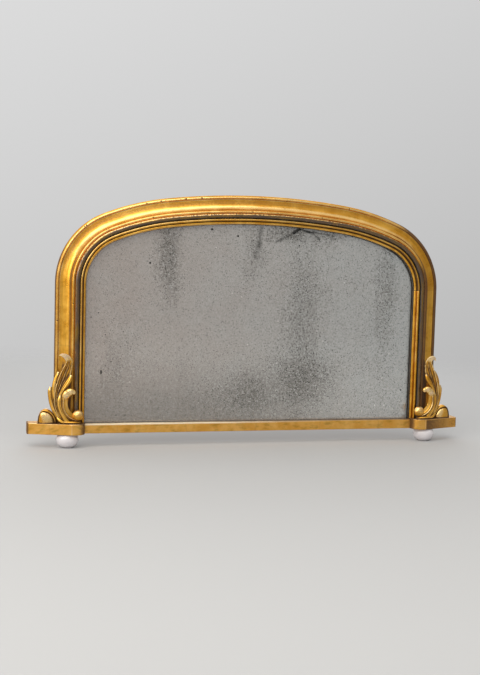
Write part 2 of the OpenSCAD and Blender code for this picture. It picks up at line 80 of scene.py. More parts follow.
class Paint:
    # one material and its node tree; add() makes any node and returns one of its outputs
    def __init__(self, name):
        self.material = bpy.data.materials.new(name)
        self.material.use_nodes = True
        self.tree = self.material.node_tree
        self.shader = self.tree.nodes["Principled BSDF"]

    def add(self, kind, settings, inputs, output=0):
        node = self.tree.nodes.new(kind)
        for key, value in settings.items():
            setattr(node, key, value)
        for key, value in inputs.items():
            self.feed(node.inputs[key], value)
        return Wire(self, node.outputs[output])

    def feed(self, socket, value):
        if isinstance(value, Wire):
            self.tree.links.new(value.socket, socket)
        else:
            socket.default_value = value

    def surface(self, **values):
        for key, value in values.items():
            self.feed(self.shader.inputs[key.replace("_", " ")], value)

    def math(self, operation, first, second):
        return self.add("ShaderNodeMath", {"operation": operation}, {0: first, 1: second})

    def mix(self, share, first, second):
        # colours blended by share, 0 gives the first
        first, second = (c if isinstance(c, Wire) else (*c, 1) for c in (first, second))
        return self.add("ShaderNodeMix", {"data_type": "RGBA"}, {0: share, 6: first, 7: second}, 2)

    def place(self):
        return self.add("ShaderNodeTexCoord", {}, {}, 3)

    def part(self, vector, k, kind="ShaderNodeSeparateXYZ"):
        # one of the three numbers in a vector or a colour
        return self.add(kind, {}, {0: vector}, k)

    def own(self, name):
        # a number stored on the mesh, 0 where the mesh has none
        return self.add("ShaderNodeAttribute", {"attribute_name": name}, {}, 2)

    def joined(self, x, y, z=0.0):
        return self.add("ShaderNodeCombineXYZ", {}, {0: x, 1: y, 2: z})

    def moved(self, vector, by):
        return self.add("ShaderNodeVectorMath", {"operation": "ADD"}, {0: vector, 1: by})

    def stretched(self, vector, scale):
        return self.add("ShaderNodeMapping", {}, {"Vector": vector, "Scale": scale})

    def noise(self, vector, scale, detail=3.0, rough=0.55, twist=0.0):
        return self.add("ShaderNodeTexNoise", {}, {"Vector": vector, "Scale": scale, "Detail": detail,
                                                   "Roughness": rough, "Distortion": twist})

    def cells(self, vector, scale, output=0, feature="F1"):
        inputs = {"Vector": vector, "Scale": scale}
        return self.add("ShaderNodeTexVoronoi", {"feature": feature}, inputs, output)

    def bump(self, height, strength, distance):
        return self.add("ShaderNodeBump", {}, {"Height": height, "Strength": strength, "Distance": distance})

    def openness(self, distance):
        # how open a place is: 1 out in the open, towards 0 in a crevice
        return self.add("ShaderNodeAmbientOcclusion", {"samples": 8}, {"Distance": distance}, 1)


def held(x):
    # kept between 0 and 1
    return np.clip(x, 0, 1)


def ramp(x, low, high):
    # 0 below low, 1 above high, straight between
    return held((x - low) / (high - low))


def bell(x, centre, width):
    # 1 at the centre, falling away as exp(-(distance / width)^2)
    return np.exp(-((x - centre) / width) ** 2)


def bells(x, *parts):
    # the sum of bells, each (amount, centre, width)
    return sum(amount * bell(x, centre, width) for amount, centre, width in parts)


def hashed(i, j, seed):
    # a fixed pseudo-random number from 0 to 1 for each pair of numbers
    h = np.sin(i * 127.1 + j * 311.7 + seed * 74.7) * 43758.5453
    return h - np.floor(h)


def ripple(x, y, seed):
    # value noise: random heights on a unit grid, blended with an S-curve between the four nearest corners
    i, j = np.floor(x), np.floor(y)
    f, g = x - i, y - j
    f, g = f * f * (3 - 2 * f), g * g * (3 - 2 * g)
    low = hashed(i, j, seed) * (1 - f) + hashed(i + 1, j, seed) * f
    high = hashed(i, j + 1, seed) * (1 - f) + hashed(i + 1, j + 1, seed) * f
    return low * (1 - g) + high * g


def curveAt(points, t):
    # Catmull-Rom curve through the points, t from 0 to 1
    p = np.asarray(points, float)
    p = p[:, None] if p.ndim == 1 else p
    s = held(t) * (len(p) - 1)
    i = np.minimum(np.floor(s).astype(int), len(p) - 2)
    f = (s - i)[:, None]
    a, b = p[np.maximum(i - 1, 0)], p[i]
    c, d = p[i + 1], p[np.minimum(i + 2, len(p) - 1)]
    out = (2 * b + (c - a) * f + (2 * a - 5 * b + 4 * c - d) * f ** 2 + (3 * b - a - 3 * c + d) * f ** 3) / 2
    return out if out.shape[1] > 1 else out[:, 0]


def arcPoints(centre, rx, ry, fromDeg, toDeg, count):
    # points of an oval arc: centre + (rx cos a, ry sin a)
    a = np.radians(np.linspace(fromDeg, toDeg, count))
    return np.stack([centre[0] + rx * np.cos(a), centre[1] + ry * np.sin(a)], -1)


def runLengths(points):
    # the length walked along the points, from the first to each
    return np.concatenate([[0], np.cumsum(np.linalg.norm(np.diff(points, axis=0), axis=1))])


def loopNormals(loop):
    # unit normals of a closed run of points, each square to the line between its two neighbours
    tangent = np.roll(loop, -1, 0) - np.roll(loop, 1, 0)
    normal = np.stack([-tangent[:, 1], tangent[:, 0]], -1)
    return normal / np.maximum(np.linalg.norm(normal, axis=1, keepdims=True), 1e-9)


def makePiece(name, node, grids, material, sharp=50):
    # a grid is (points[rows, round, 3], {mark: values[rows, round]}) and makes a closed skin: quads join each
    # row to the next and close round the section, and the two end rows are capped. Angles over `sharp`
    # degrees stay crisp
    verts, faces, marks, start = [], [], {}, 0
    for points, values in grids:
        rows, around = points.shape[:2]
        index = start + np.arange(rows * around).reshape(rows, around)
        onward = np.roll(index, -1, axis=1)
        quads = np.stack([index[:-1], onward[:-1], onward[1:], index[1:]], -1).reshape(-1, 4)
        faces += quads.tolist() + [index[0, ::-1].tolist(), index[-1].tolist()]
        verts.append(points.reshape(-1, 3))
        for key, value in values.items():
            marks.setdefault(key, []).append(np.broadcast_to(value, (rows, around)).reshape(-1))
        start += rows * around
    mesh = bpy.data.meshes.new(name)
    mesh.from_pydata(np.concatenate(verts), [], faces)
    for key, parts in marks.items():
        mark = mesh.attributes.new(key, "FLOAT", "POINT")
        mark.data.foreach_set("value", np.concatenate(parts).astype("f"))
    shell = bmesh.new()
    shell.from_mesh(mesh)
    bmesh.ops.recalc_face_normals(shell, faces=shell.faces)
    shell.to_mesh(mesh)
    shell.free()
    mesh.polygons.foreach_set("use_smooth", np.ones(len(mesh.polygons), bool))
    mesh.set_sharp_from_angle(angle=math.radians(sharp))
    mesh.materials.append(material)
    piece = bpy.data.objects.new(name, mesh)
    bpy.context.scene.collection.objects.link(piece)
    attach(piece, "mirror")
    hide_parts(node)


def dress(node, material):
    # a CAD node keeps its mesh and takes a material
    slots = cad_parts[node].data.materials
    if len(slots) == 0:
        slots.append(material)
    for k in range(len(slots)):
        slots[k] = material


viewpoint = {
    "place": (-0.6430, -2.3044, 0.4312),
    "yaw": 14.70, "pitch": -4.23, "roll": 1.55,   # degrees: to the right, down, and a slight tilt
    "lens": 53.35, "sensor": 36, "near": 0.05,
}
studio = {
    # a softly graded room: brighter above, to the left and behind
    "worldLevel": 0.52, "worldSlope": (-0.16, 0.10, 0.40),
    "lamps": {
        "key": {"place": (-0.80, -1.55, 2.3), "size": 2.8, "watts": 41, "colour": (1.0, 0.96, 0.88)},
        "fill": {"place": (-1.7, -2.4, 1.1), "size": 0.9, "watts": 8, "colour": (1.0, 0.98, 0.94)},
        "back": {"place": (0.6, 2.6, 1.8), "size": 2.0, "watts": 14, "colour": (1.0, 0.99, 0.97)},
        "side": {"place": (-2.3, -0.9, 0.9), "size": 1.0, "watts": 10, "colour": (1.0, 0.97, 0.93)},
    },
    "aim": (0.0, 0.0, 0.3),
    "floorColour": (0.48, 0.48, 0.48, 1), "floorFade": (1.2, 3.0), "floorSides": 96,
}


def standAt(place, right, top, back):
    # the placing matrix whose columns are three axes and a place
    return Matrix([*np.column_stack([right, top, back, place]).tolist(), [0, 0, 0, 1]])


def makeCamera(view):
    # forward = (sin yaw cos pitch, cos yaw cos pitch, sin pitch); the roll turns the other two axes
    yaw, pitch, roll = (math.radians(view[k]) for k in ("yaw", "pitch", "roll"))
    forward = np.array([math.sin(yaw) * math.cos(pitch), math.cos(yaw) * math.cos(pitch), math.sin(pitch)])
    side = np.array([math.cos(yaw), -math.sin(yaw), 0.0])
    up = np.cross(side, forward)
    right = math.cos(roll) * side + math.sin(roll) * up
    top = math.cos(roll) * up - math.sin(roll) * side
    lens = bpy.data.cameras.new("camera")
    lens.lens, lens.sensor_width, lens.clip_start = view["lens"], view["sensor"], view["near"]
    camera = bpy.data.objects.new("camera", lens)
    camera.matrix_world = standAt(view["place"], right, top, -forward)
    bpy.context.scene.collection.objects.link(camera)
    bpy.context.scene.camera = camera


def makeLight(name, lamp, aim):
    # a square lamp that faces the aim
    light = bpy.data.lights.new(name, "AREA")
    light.energy, light.size, light.color = lamp["watts"], lamp["size"], lamp["colour"]
    away = np.array(lamp["place"]) - np.array(aim)
    away = away / np.linalg.norm(away)
    side = np.cross([0, 0, 1], away)
    side = side / np.linalg.norm(side)
    holder = bpy.data.objects.new(name, light)
    holder.matrix_world = standAt(lamp["place"], side, np.cross(away, side), away)
    bpy.context.scene.collection.objects.link(holder)


def makeWorld(room):
    # strength = level + slope . direction
    world = bpy.data.worlds.new("world")
    world.use_nodes = True
    nodes, links = world.node_tree.nodes, world.node_tree.links
    where = nodes.new("ShaderNodeTexCoord")
    slope = nodes.new("ShaderNodeVectorMath")
    slope.operation = "DOT_PRODUCT"
    slope.inputs[1].default_value = room["worldSlope"]
    level = nodes.new("ShaderNodeMath")
    level.inputs[1].default_value = room["worldLevel"]
    links.new(where.outputs["Generated"], slope.inputs[0])
    links.new(slope.outputs["Value"], level.inputs[0])
    links.new(level.outputs[0], nodes["Background"].inputs["Strength"])
    nodes["Background"].inputs["Color"].default_value = (1, 1, 1, 1)
    bpy.context.scene.world = world


def makeFloor(room):
    # a disc that fades out towards its rim
    near, far = room["floorFade"]
    angle = np.linspace(0, 2 * np.pi, room["floorSides"], endpoint=False)
    disc = np.column_stack([far * np.cos(angle), far * np.sin(angle), np.zeros_like(angle)])
    mesh = bpy.data.meshes.new("floor")
    mesh.from_pydata(disc, [], [list(range(len(disc)))])
    paint = Paint("floorPaint")
    spread = paint.add("ShaderNodeVectorMath", {"operation": "LENGTH"}, {0: paint.place()}, 1)
    paint.surface(Base_Color=room["floorColour"], Roughness=0.8, Alpha=1 - spread.rise(near, far * 0.97))
    mesh.materials.append(paint.material)
    floor = bpy.data.objects.new("floor", mesh)
    bpy.context.scene.collection.objects.link(floor)


makeCamera(viewpoint)
makeWorld(studio)
for lampName, lamp in studio["lamps"].items():
    makeLight(lampName, lamp, studio["aim"])
makeFloor(studio)
bpy.context.scene.view_settings.view_transform = "Standard"
print("camera, lights and floor made")


# the arch that the mouldings follow: two uprights, tight corners, flatter shoulders and a crown
arch = {
    "halfWidth": 0.474, "foot": 0.056, "spring": 0.376,
    "cornerRadius": 0.176, "cornerSweep": 67.3,
    "shoulderRadius": 0.583, "shoulderSweep": 15.2,
    "wall": 0.02796,
}
archNodes = ["stile_right", "corner_right", "shoulder_right", "crown",
             "shoulder_left", "corner_left", "stile_left"]


def planArch(a):
    # the outer edge's curves from right to left, each (centre, radius, first angle, sweep)
    first, second = math.radians(a["cornerSweep"]), math.radians(a["shoulderSweep"])
    both = first + second
    corner = np.array([a["halfWidth"] - a["cornerRadius"], a["spring"]])
    turn = np.array([math.cos(first), math.sin(first)])
    shoulder = corner + (a["cornerRadius"] - a["shoulderRadius"]) * turn
    crownRadius = a["shoulderRadius"] + shoulder[0] / math.cos(both)
    crown = np.array([0.0, shoulder[1] + (a["shoulderRadius"] - crownRadius) * math.sin(both)])
    flip = np.array([-1.0, 1.0])
    return [(corner, a["cornerRadius"], 0.0, first), (shoulder, a["shoulderRadius"], first, second),
            (crown, crownRadius, both, math.pi - 2 * both),
            (shoulder * flip, a["shoulderRadius"], math.pi - both, second),
            (corner * flip, a["cornerRadius"], math.pi - first, first)]


archArcs = planArch(arch)
stileLength = arch["spring"] - arch["foot"]
archEnds = np.cumsum([0, stileLength] + [radius * sweep for _, radius, _, sweep in archArcs] + [stileLength])


def alongArch(s):
    # place and outward direction, as (x, z), at each length s along the outer edge from the right foot
    place, outward = np.zeros((len(s), 2)), np.zeros((len(s), 2))
    for side, low, high in ((1, archEnds[0], archEnds[1]), (-1, archEnds[-2], archEnds[-1])):
        inside = (s >= low - 1e-9) & (s <= high + 1e-9)
        rise = s - low if side > 0 else high - s
        place[inside] = np.stack([np.full(len(s), side * arch["halfWidth"]), arch["foot"] + rise], -1)[inside]
        outward[inside] = (side, 0)
    for k, (centre, radius, start, sweep) in enumerate(archArcs):
        inside = (s >= archEnds[k + 1]) & (s <= archEnds[k + 2])
        angle = start + (s - archEnds[k + 1]) / radius
        turn = np.stack([np.cos(angle), np.sin(angle)], -1)
        place[inside] = (centre + radius * turn)[inside]
        outward[inside] = turn[inside]
    return place, outward


def sweepArch(section, s, lift):
    # section points (distance in from the edge, height off the wall) carried along the arch: point = edge -
    # outward * distance, and towards the viewer by the height. lift[rows, round] pushes it out
    place, outward = alongArch(s)
    shaped = section + lift[..., None] * loopNormals(section)
    inward, height = shaped[..., 0], shaped[..., 1]
    return np.stack([place[:, None, 0] - outward[:, None, 0] * inward,
                     arch["wall"] - height,
                     place[:, None, 1] - outward[:, None, 1] * inward], -1)


moulding = {
    "step": 0.0014,                # spacing of the sections along the arch
    "bead": {"width": 0.009, "height": 0.014, "lean": 0.62},
    "hollow": {"width": 0.027, "height": 0.016},
    "ridge": {"width": 0.007, "height": 0.034},
    "torus": {"width": 0.0115, "height": 0.0345},
    "plateHeight": 0.0215, "seat": 0.0055, "ledge": 0.012, "board": 0.008,
    "points": {"side": 7, "bead": 17, "hollow": 28, "ridge": 15, "torus": 19},
    "swell": 0.00011, "dent": 0.0006,                  # hand-finished unevenness, depth of a chip
    "ornamentTop": 0.203,                              # below this the carving stands in front
}
# chips seen on the two beads: x, z, size in half millimetres
beadNicks = [(-0.4095, 0.514, 4), (-0.414, 0.511, 3), (-0.268, 0.567, 3), (-0.175, 0.582, 5),
             (-0.137, 0.586, 4), (-0.234, 0.573, 3), (0.232, 0.570, 3), (0.448, 0.452, 4),
             (-0.474, 0.290, 3), (0.474, 0.205, 4)]
ridgeNicks = [(-0.017, 0.551, 4), (0.045, 0.551, 3), (0.156, 0.543, 3), (0.251, 0.525, 3), (-0.255, 0.533, 4),
              (-0.354, 0.495, 3), (-0.431, 0.330, 3), (0.431, 0.260, 3), (-0.431, 0.215, 2)]
# how much of each there is at a point of a section: wear with painted highlight, which turns the leaf pale,
# dirt with painted shade, which darkens it, ebonised black, and raw wood. The rest count in one part of the
# arch only: painted shade on the right, on the left and the top, beside the carving and on the uprights;
# painted highlights on the torus and in the hollow along the lit top
markNames = ("wearAndHighlight", "dirtAndShade", "black", "bare", "shaded", "dulled", "gleam", "sheen", "behind", "flank")


def stack(*runs):
    # joins stretches of a section; each is (points, marks), a mark being a number or one value a point
    points = np.concatenate([run for run, _ in runs])
    marks = {key: np.concatenate([np.broadcast_to(own.get(key, 0.0), len(run)) for run, own in runs])
             for key in markNames}
    return points, marks


def line(a, b, count):
    # even points from a towards b, without b
    return np.linspace(a, b, count, endpoint=False)


def halfRound(start, height, width, count):
    # a half circle standing on the section, from its outer foot to its inner foot
    return arcPoints((start + width / 2, height), width / 2, width / 2, 180, 0, count)


def mouldingSection(m):
    # side, outer bead, hollow as a quarter oval, ridge bead, ebonised torus, then rebate and flat back
    bead, hollow, ridge, torus, points = m["bead"], m["hollow"], m["ridge"], m["torus"], m["points"]
    ridgeIn = bead["width"] + hollow["width"]
    torusIn = ridgeIn + ridge["width"]
    torusOut = torusIn + torus["width"]
    rebate, boardIn = torusOut + m["seat"], torusOut + m["seat"] - m["ledge"]
    beadRun = halfRound(0, bead["height"], bead["width"], points["bead"])
    beadRun[:, 0] = bead["width"] * held(beadRun[:, 0] / bead["width"]) ** bead["lean"]
    hollowRun = arcPoints((bead["width"], ridge["height"]), hollow["width"],
                          ridge["height"] - hollow["height"], -90, 0, points["hollow"])
    ridgeRun = halfRound(ridgeIn, ridge["height"], ridge["width"], points["ridge"])[1:]
    torusRun = halfRound(torusIn, torus["height"], torus["width"], points["torus"])
    # the share of the way across each stretch, from the outer side to the inner
    b, h, t = (np.linspace(0, 1, points[k]) for k in ("bead", "hollow", "torus"))
    r = np.linspace(0, 1, points["ridge"])[1:]
    crest = np.sin(np.pi * r)
    # bead: wear and a painted highlight on the crest, dirt and painted shade at its feet, on the right and
    # uprights
    onBead = {"wearAndHighlight": bells(b, (1.15, 0.45, 0.2), (1.1, 0.93, 0.05)),
              "dirtAndShade": bells(b, (0.8, 0, 0.14), (0.3, 0.84, 0.05)), "shaded": 0.95, "flank": 1.5}
    # hollow: painted highlight in the middle and along the top, painted shade in parts of it and by the
    # carving
    inHollow = {"wearAndHighlight": bells(h, (0.9, 0, 0.05), (0.35, 0.50, 0.14)) + 0.1 + 0.7 * ramp(h, 0.60, 0.80),
                "dirtAndShade": 0.06 + bells(h, (0.3, 0.10, 0.07), (0.46, 0.73, 0.10)),
                "shaded": 0.8 * bell(h, 0.70, 0.14), "dulled": 0.60 * bell(h, 0.23, 0.19),
                "flank": 0.08 + 0.85 * ramp(h, 0.38, 0.60), "sheen": 0.75 * bell(h, 0.50, 0.13),
                "behind": ramp(h, 0.12, 0.27)}
    # ridge: a worn crest, dirt and painted shade on its flanks, painted shadow by the carving and on the
    # uprights
    onRidge = {"wearAndHighlight": crest ** 3, "dirtAndShade": 0.9 * (1 - crest) ** 1.2 * np.where(r < 0.5, 0.35, 0.9),
               "behind": 0.3, "flank": 0.9}
    # torus: a worn outer flank with a painted highlight line along it, ebonised black within
    onTorus = {"wearAndHighlight": 0.3 + 0.30 * bell(t, 0.3, 0.12), "dirtAndShade": 0.35 * (t < 0.1),
               "gleam": bell(t, 0.27, 0.11),
               "black": 0.55 * ramp(t, 0.14, 0.24) + 0.45 * ramp(t, 0.66, 0.78)}
    raw = {"dirtAndShade": 0.5, "bare": 1.0}
    # the outer side is darkened, a painted shade, more on the right
    return stack(
        (line((0, 0), (0, bead["height"]), points["side"]), {"wearAndHighlight": 0.25, "dirtAndShade": 0.8, "shaded": 0.5}),
        (beadRun, onBead), (hollowRun, inHollow), (ridgeRun, onRidge), (torusRun, onTorus),
        (line((torusOut, torus["height"] - 0.001), (torusOut, m["plateHeight"]), 3),
         {"dirtAndShade": 1.0, "black": 1.0}),
        (line((torusOut, m["plateHeight"]), (rebate, m["plateHeight"]), 2), raw),
        (line((rebate, m["plateHeight"]), (rebate, m["board"]), 2), raw),
        (line((rebate, m["board"]), (boardIn, m["board"]), 2), raw),
        (line((boardIn, m["board"]), (boardIn, 0), 2), raw),
        (line((boardIn, 0), (0.0005, 0), 8), {"dirtAndShade": 0.3, "bare": 1.0}))


def nearestLength(x, z):
    # the length along the outer edge whose place is nearest
    s = np.linspace(0, archEnds[-1], 6001)
    place, _ = alongArch(s)
    return s[np.argmin(np.hypot(place[:, 0] - x, place[:, 1] - z))]


def nickField(s, u, nicks, across, width):
    # the sum of small bells, one at each nick
    field = np.zeros((len(s), len(u)))
    for x, z, size in nicks:
        start = nearestLength(x, z)
        ragged = 1 + 0.5 * (hashed(start * 1000, size, 3) - 0.5)
        field += bell(s[:, None], start, size * 0.0005 * ragged) * bell(u[None], across, width)
    return held(field)


def runMoulding(name, section, marks, first, last, dents, swell):
    # one length of moulding: its section carried along the arch, with slow swelling and chips, and its marks,
    # with painted light and shade weighted by the way the edge faces
    s = np.linspace(first, last, max(int((last - first) / moulding["step"]), 8))
    u = runLengths(section)
    nicks = dents(s, u)
    slow = ripple(s[:, None] / 0.017, u[None] / 0.006, 1) - 0.5
    quick = ripple(s[:, None] / 0.004, u[None] / 0.003, 2) - 0.5
    lift = swell * (1 - marks["bare"]) * (slow + 0.5 * quick) - moulding["dent"] * nicks
    place, outward = alongArch(s)
    away, up = outward[:, :1], outward[:, 1:]          # how far the edge faces right, and up
    # painted light: lighter where the edge faces up and left, with highlights and less shade on the lit top
    worn = 0.62 + 0.44 * (0.8 * up - 0.6 * away)
    top = held(1.5 * up - 0.2)
    lit = top * held(0.85 - 1.3 * away)
    # by the carving: less highlight and a painted shadow in the hollow
    low = held((moulding["ornamentTop"] - place[:, 1:]) / 0.02)
    # painted shade on the uprights, strongest on the right
    flank = marks["flank"] * (ramp(away, 0.75, 0.95) + 0.4 * ramp(-away, 0.75, 0.95))
    values = {
        "wearAndHighlight": (marks["wearAndHighlight"] * (1 - 0.7 * held(flank)) * worn * (1 - 0.6 * low)
                   + 0.9 * (marks["gleam"] * lit + marks["sheen"] * top * held(1.15 - 1.2 * away))),
        "dirtAndShade": (marks["dirtAndShade"] * (1 - 0.45 * lit) + marks["shaded"] * ramp(away, 0.15, 0.55)
                  + 0.85 * marks["behind"] * low + flank
                  + marks["dulled"] * held(1 - 1.4 * away) * held(0.35 + 1.3 * up)),
        "black": marks["black"], "bare": marks["bare"], "nick": nicks, "along": s[:, None], "across": u,
        # each length was gilded on its own
        "tone": float(hashed(first * 100, section[0, 0] * 900, 4)) - 0.5,
    }
    makePiece("gilt_" + name, name, [(sweepArch(section, s, lift), values)], giltPaint)


# the dark red-brown soot colour also serves for painted shade
gilding = {
    "bright": (0.93, 0.50, 0.070), "plain": (0.70, 0.31, 0.018), "olive": (0.34, 0.185, 0.010),
    "pale": (1.0, 0.68, 0.27), "bole": (0.24, 0.045, 0.008), "sootAndShade": (0.046, 0.012, 0.002),
    "gesso": (1.0, 0.88, 0.64), "umber": (0.17, 0.112, 0.075), "ebony": (0.009, 0.005, 0.003),
    "pine": (0.30, 0.17, 0.075),
}


def darker(colour, share):
    # the colour times a share
    return tuple(share * c for c in colour)


def gildedPaint(name, colours, worn=1.0, matt=0.0, follows=True, deep=False, brush=(14, 260, 1), chalk=0.8):
    # water gilding over red bole. worn: how far it is rubbed through, matt: added roughness, follows:
    # patterns run along the moulding, deep: crevices take a painted shade from the openness, brush: stretch
    # of its marks, chalk: how much gesso shows
    paint = Paint(name)
    wearAndLight = paint.own("wearAndHighlight")
    flat = paint.joined(paint.own("along"), paint.own("across")) if follows else paint.place()
    cloud = paint.noise(flat, 22, 4, 0.6)
    streak = paint.noise(paint.stretched(flat, brush), 1, 3)
    fine = paint.noise(flat, 700, 3, 0.6)
    speck = paint.noise(flat, 260, 5, 0.65)
    # the leaf: two tones, olive brush marks, and thin red lines where the leaves lap
    tone = paint.mix((cloud + paint.own("tone") * 0.15).rise(0.35, 0.7), colours["plain"], colours["bright"])
    tone = paint.mix(streak.rise(0.45, 0.75) * 0.5, tone, colours["olive"])
    laps = paint.add("ShaderNodeTexWave", {"wave_type": "BANDS", "wave_profile": "SAW"},
                     {"Vector": flat, "Scale": 1.95, "Distortion": 1.5, "Detail": 1, "Detail Scale": 2})
    tone = paint.mix(laps.rise(0.965, 1.0) * 0.14, tone, colours["bole"])
    # crests are burnished pale, and painted highlights turn pale the same way; then rubbed to the bole and
    # through to the gesso
    burnishAndHighlight = (wearAndLight + (cloud - 0.5) * 0.8).rise(0.3, 1.1)
    tone = paint.mix(burnishAndHighlight * (0.95 if deep else 0.8), tone, colours["pale"])
    wearAndHighlight = wearAndLight * 0.55 * worn + speck.rise(0.3, 0.9) - 0.25
    bare = (speck + wearAndLight * 0.12 * worn).rise(0.70, 0.76)
    tone = paint.mix(bare * 0.7, tone, colours["bole"])
    through = (wearAndHighlight + fine * 0.06).rise(0.95, 1.15)
    tone = paint.mix(through * chalk, tone, colours["gesso"])
    # dirt and painted shade darken the leaf towards the dark colour; with deep, crevices take painted shade
    # too
    dirtAndShade = paint.own("dirtAndShade") * 1.05 + (speck - 0.5) * 0.5
    if deep:
        dirtAndShade = dirtAndShade + (1 - paint.openness(0.014)) * 1.15
    dirtAndShade = dirtAndShade.rise(0.35, 1.05)
    tone = paint.mix(dirtAndShade * 0.9, tone, colours["sootAndShade"])
    # ebonising: a brown fringe, patchy where it is rubbed, and black within
    flecked = paint.own("black") - (wearAndHighlight - 0.45).rise(0.17, 0.28) * 0.9
    flecked = flecked + (cloud - 0.5) * 0.7 + (speck - 0.5) * 0.4
    patchy = paint.mix(streak.rise(0.45, 0.6) * 0.7, colours["umber"], colours["olive"])
    tone = paint.mix(flecked.rise(0.25, 0.5), tone, patchy)
    black = flecked.rise(0.45, 0.85)
    tone = paint.mix(black, tone, colours["ebony"])
    nick = (paint.own("nick") + (speck - 0.5) * 0.5).rise(0.35, 0.55)
    tone = paint.mix(nick * 0.9, tone, colours["sootAndShade"])
    wood = paint.own("bare").rise(0.4, 0.6)
    grain = paint.noise(paint.stretched(flat, (6, 320, 1)), 1, 4).rise(0.3, 0.7)
    tone = paint.mix(wood, tone, paint.mix(grain, colours["pine"], darker(colours["pine"], 0.55)))
    dull = (bare * 0.6 + through * 0.44 * chalk + dirtAndShade * 0.8 + nick + wood + black).clip()
    rough = 0.25 + matt + (cloud - 0.5) * 0.18 + fine * 0.08 + dull * 0.35 - black * 0.36 - burnishAndHighlight * 0.06
    height = fine * 0.35 + speck * 0.5 + streak * 0.4 - bare * 0.35 - nick * 0.8
    paint.surface(Base_Color=tone, Metallic=(1 - dull) * 0.95, Roughness=rough.clip(),
                  Coat_Weight=(1 - dull) * 0.30 + black * 0.35, Coat_Roughness=0.15, Specular_IOR_Level=0.5,
                  Normal=paint.bump(height, 0.35, 0.00016))
    return paint.material


giltPaint = gildedPaint("wornGilding", gilding)
frameSection, frameMarks = mouldingSection(moulding)
beadCrest = moulding["bead"]["height"] + moulding["bead"]["width"] / 2 * math.pi / 2
counts = moulding["points"]
crestPoint = counts["side"] + counts["bead"] + counts["hollow"] + counts["ridge"] // 2 - 1
ridgeCrest = runLengths(frameSection)[crestPoint]


def frameDents(s, u):
    # the nicks of both beads together
    onBead = nickField(s, u, beadNicks, beadCrest, 0.003)
    return held(onBead + nickField(s, u, ridgeNicks, ridgeCrest, 0.002))


for k, node in enumerate(archNodes):
    runMoulding(node, frameSection, frameMarks, archEnds[k], archEnds[k + 1], frameDents,
                moulding["swell"])
print("mouldings made")


# the slips beside the glass, with two reeds
slip = {
    "gap": 0.0002, "outer": {"width": 0.0065, "height": 0.0335}, "inner": {"width": 0.0073, "height": 0.0285},
    "lip": 0.0005, "jointGap": 0.00015, "points": 13, "swell": 0.6,   # swell: a share of the moulding's
}


def slipSection(m, p):
    # side, outer reed, inner reed, the black sight edge, and the flat that lies on the glass
    start = m["bead"]["width"] + m["hollow"]["width"] + m["ridge"]["width"] + m["torus"]["width"] + p["gap"]
    outer, inner = p["outer"], p["inner"]
    middle = start + outer["width"]
    edge = middle + inner["width"] + p["lip"]
    r = np.linspace(0, 1, p["points"])
    # dirt and painted shade in the groove between the reeds and at their feet
    crevice = 0.9 * (1 - np.sin(r * np.pi)) ** 1.2
    onOuter = {"wearAndHighlight": 0.8 * bell(r, 0.4, 0.2), "dirtAndShade": crevice + ramp(r, 0.52, 0.67)}
    # the inner reed's inner foot is black, a painted shadow beside the sight edge
    onInner = {"wearAndHighlight": 0.7 * bell(r, 0.68, 0.2), "dirtAndShade": crevice + ramp(0.50 - r, 0, 0.15),
               "black": 1.0 * (r > 0.94)}
    return stack(
        (line((start, m["plateHeight"]), (start, outer["height"]), 4), {"dirtAndShade": 1.0}),
        (halfRound(start, outer["height"], outer["width"], p["points"]), onOuter),
        (halfRound(middle, inner["height"], inner["width"], p["points"]), onInner),
        (line((edge, inner["height"]), (edge, m["plateHeight"]), 5), {"dirtAndShade": 1.2, "black": 1.0}),
        (line((edge, m["plateHeight"]), (start + 0.0003, m["plateHeight"]), 5), {"dirtAndShade": 0.5, "bare": 1.0}))


def jointDents(s, u):
    # the right slip's upper joint is open by a hair: a dent across both reeds
    return bell(s[:, None], archEnds[1], 0.0008) * np.ones(len(u))


slipShape, slipMarks = slipSection(moulding, slip)
# the straight slip on the right is lighter: less darkening, and pale leaf in its grooves
gilded, grooves = slipMarks["black"] == 0, slipMarks["dirtAndShade"] > 0.5
lighterSlipMarks = {**slipMarks, "dirtAndShade": np.where(gilded, slipMarks["dirtAndShade"] * 0.30, slipMarks["dirtAndShade"]),
               "wearAndHighlight": np.where(grooves & gilded, 1.6, slipMarks["wearAndHighlight"])}
for k, node in enumerate(archNodes):
    runMoulding("slip_" + node.replace("stile_", ""), slipShape,
                lighterSlipMarks if node == "stile_right" else slipMarks, archEnds[k] + slip["jointGap"],
                archEnds[k + 1] - slip["jointGap"], jointDents, moulding["swell"] * slip["swell"])
print("slips made")


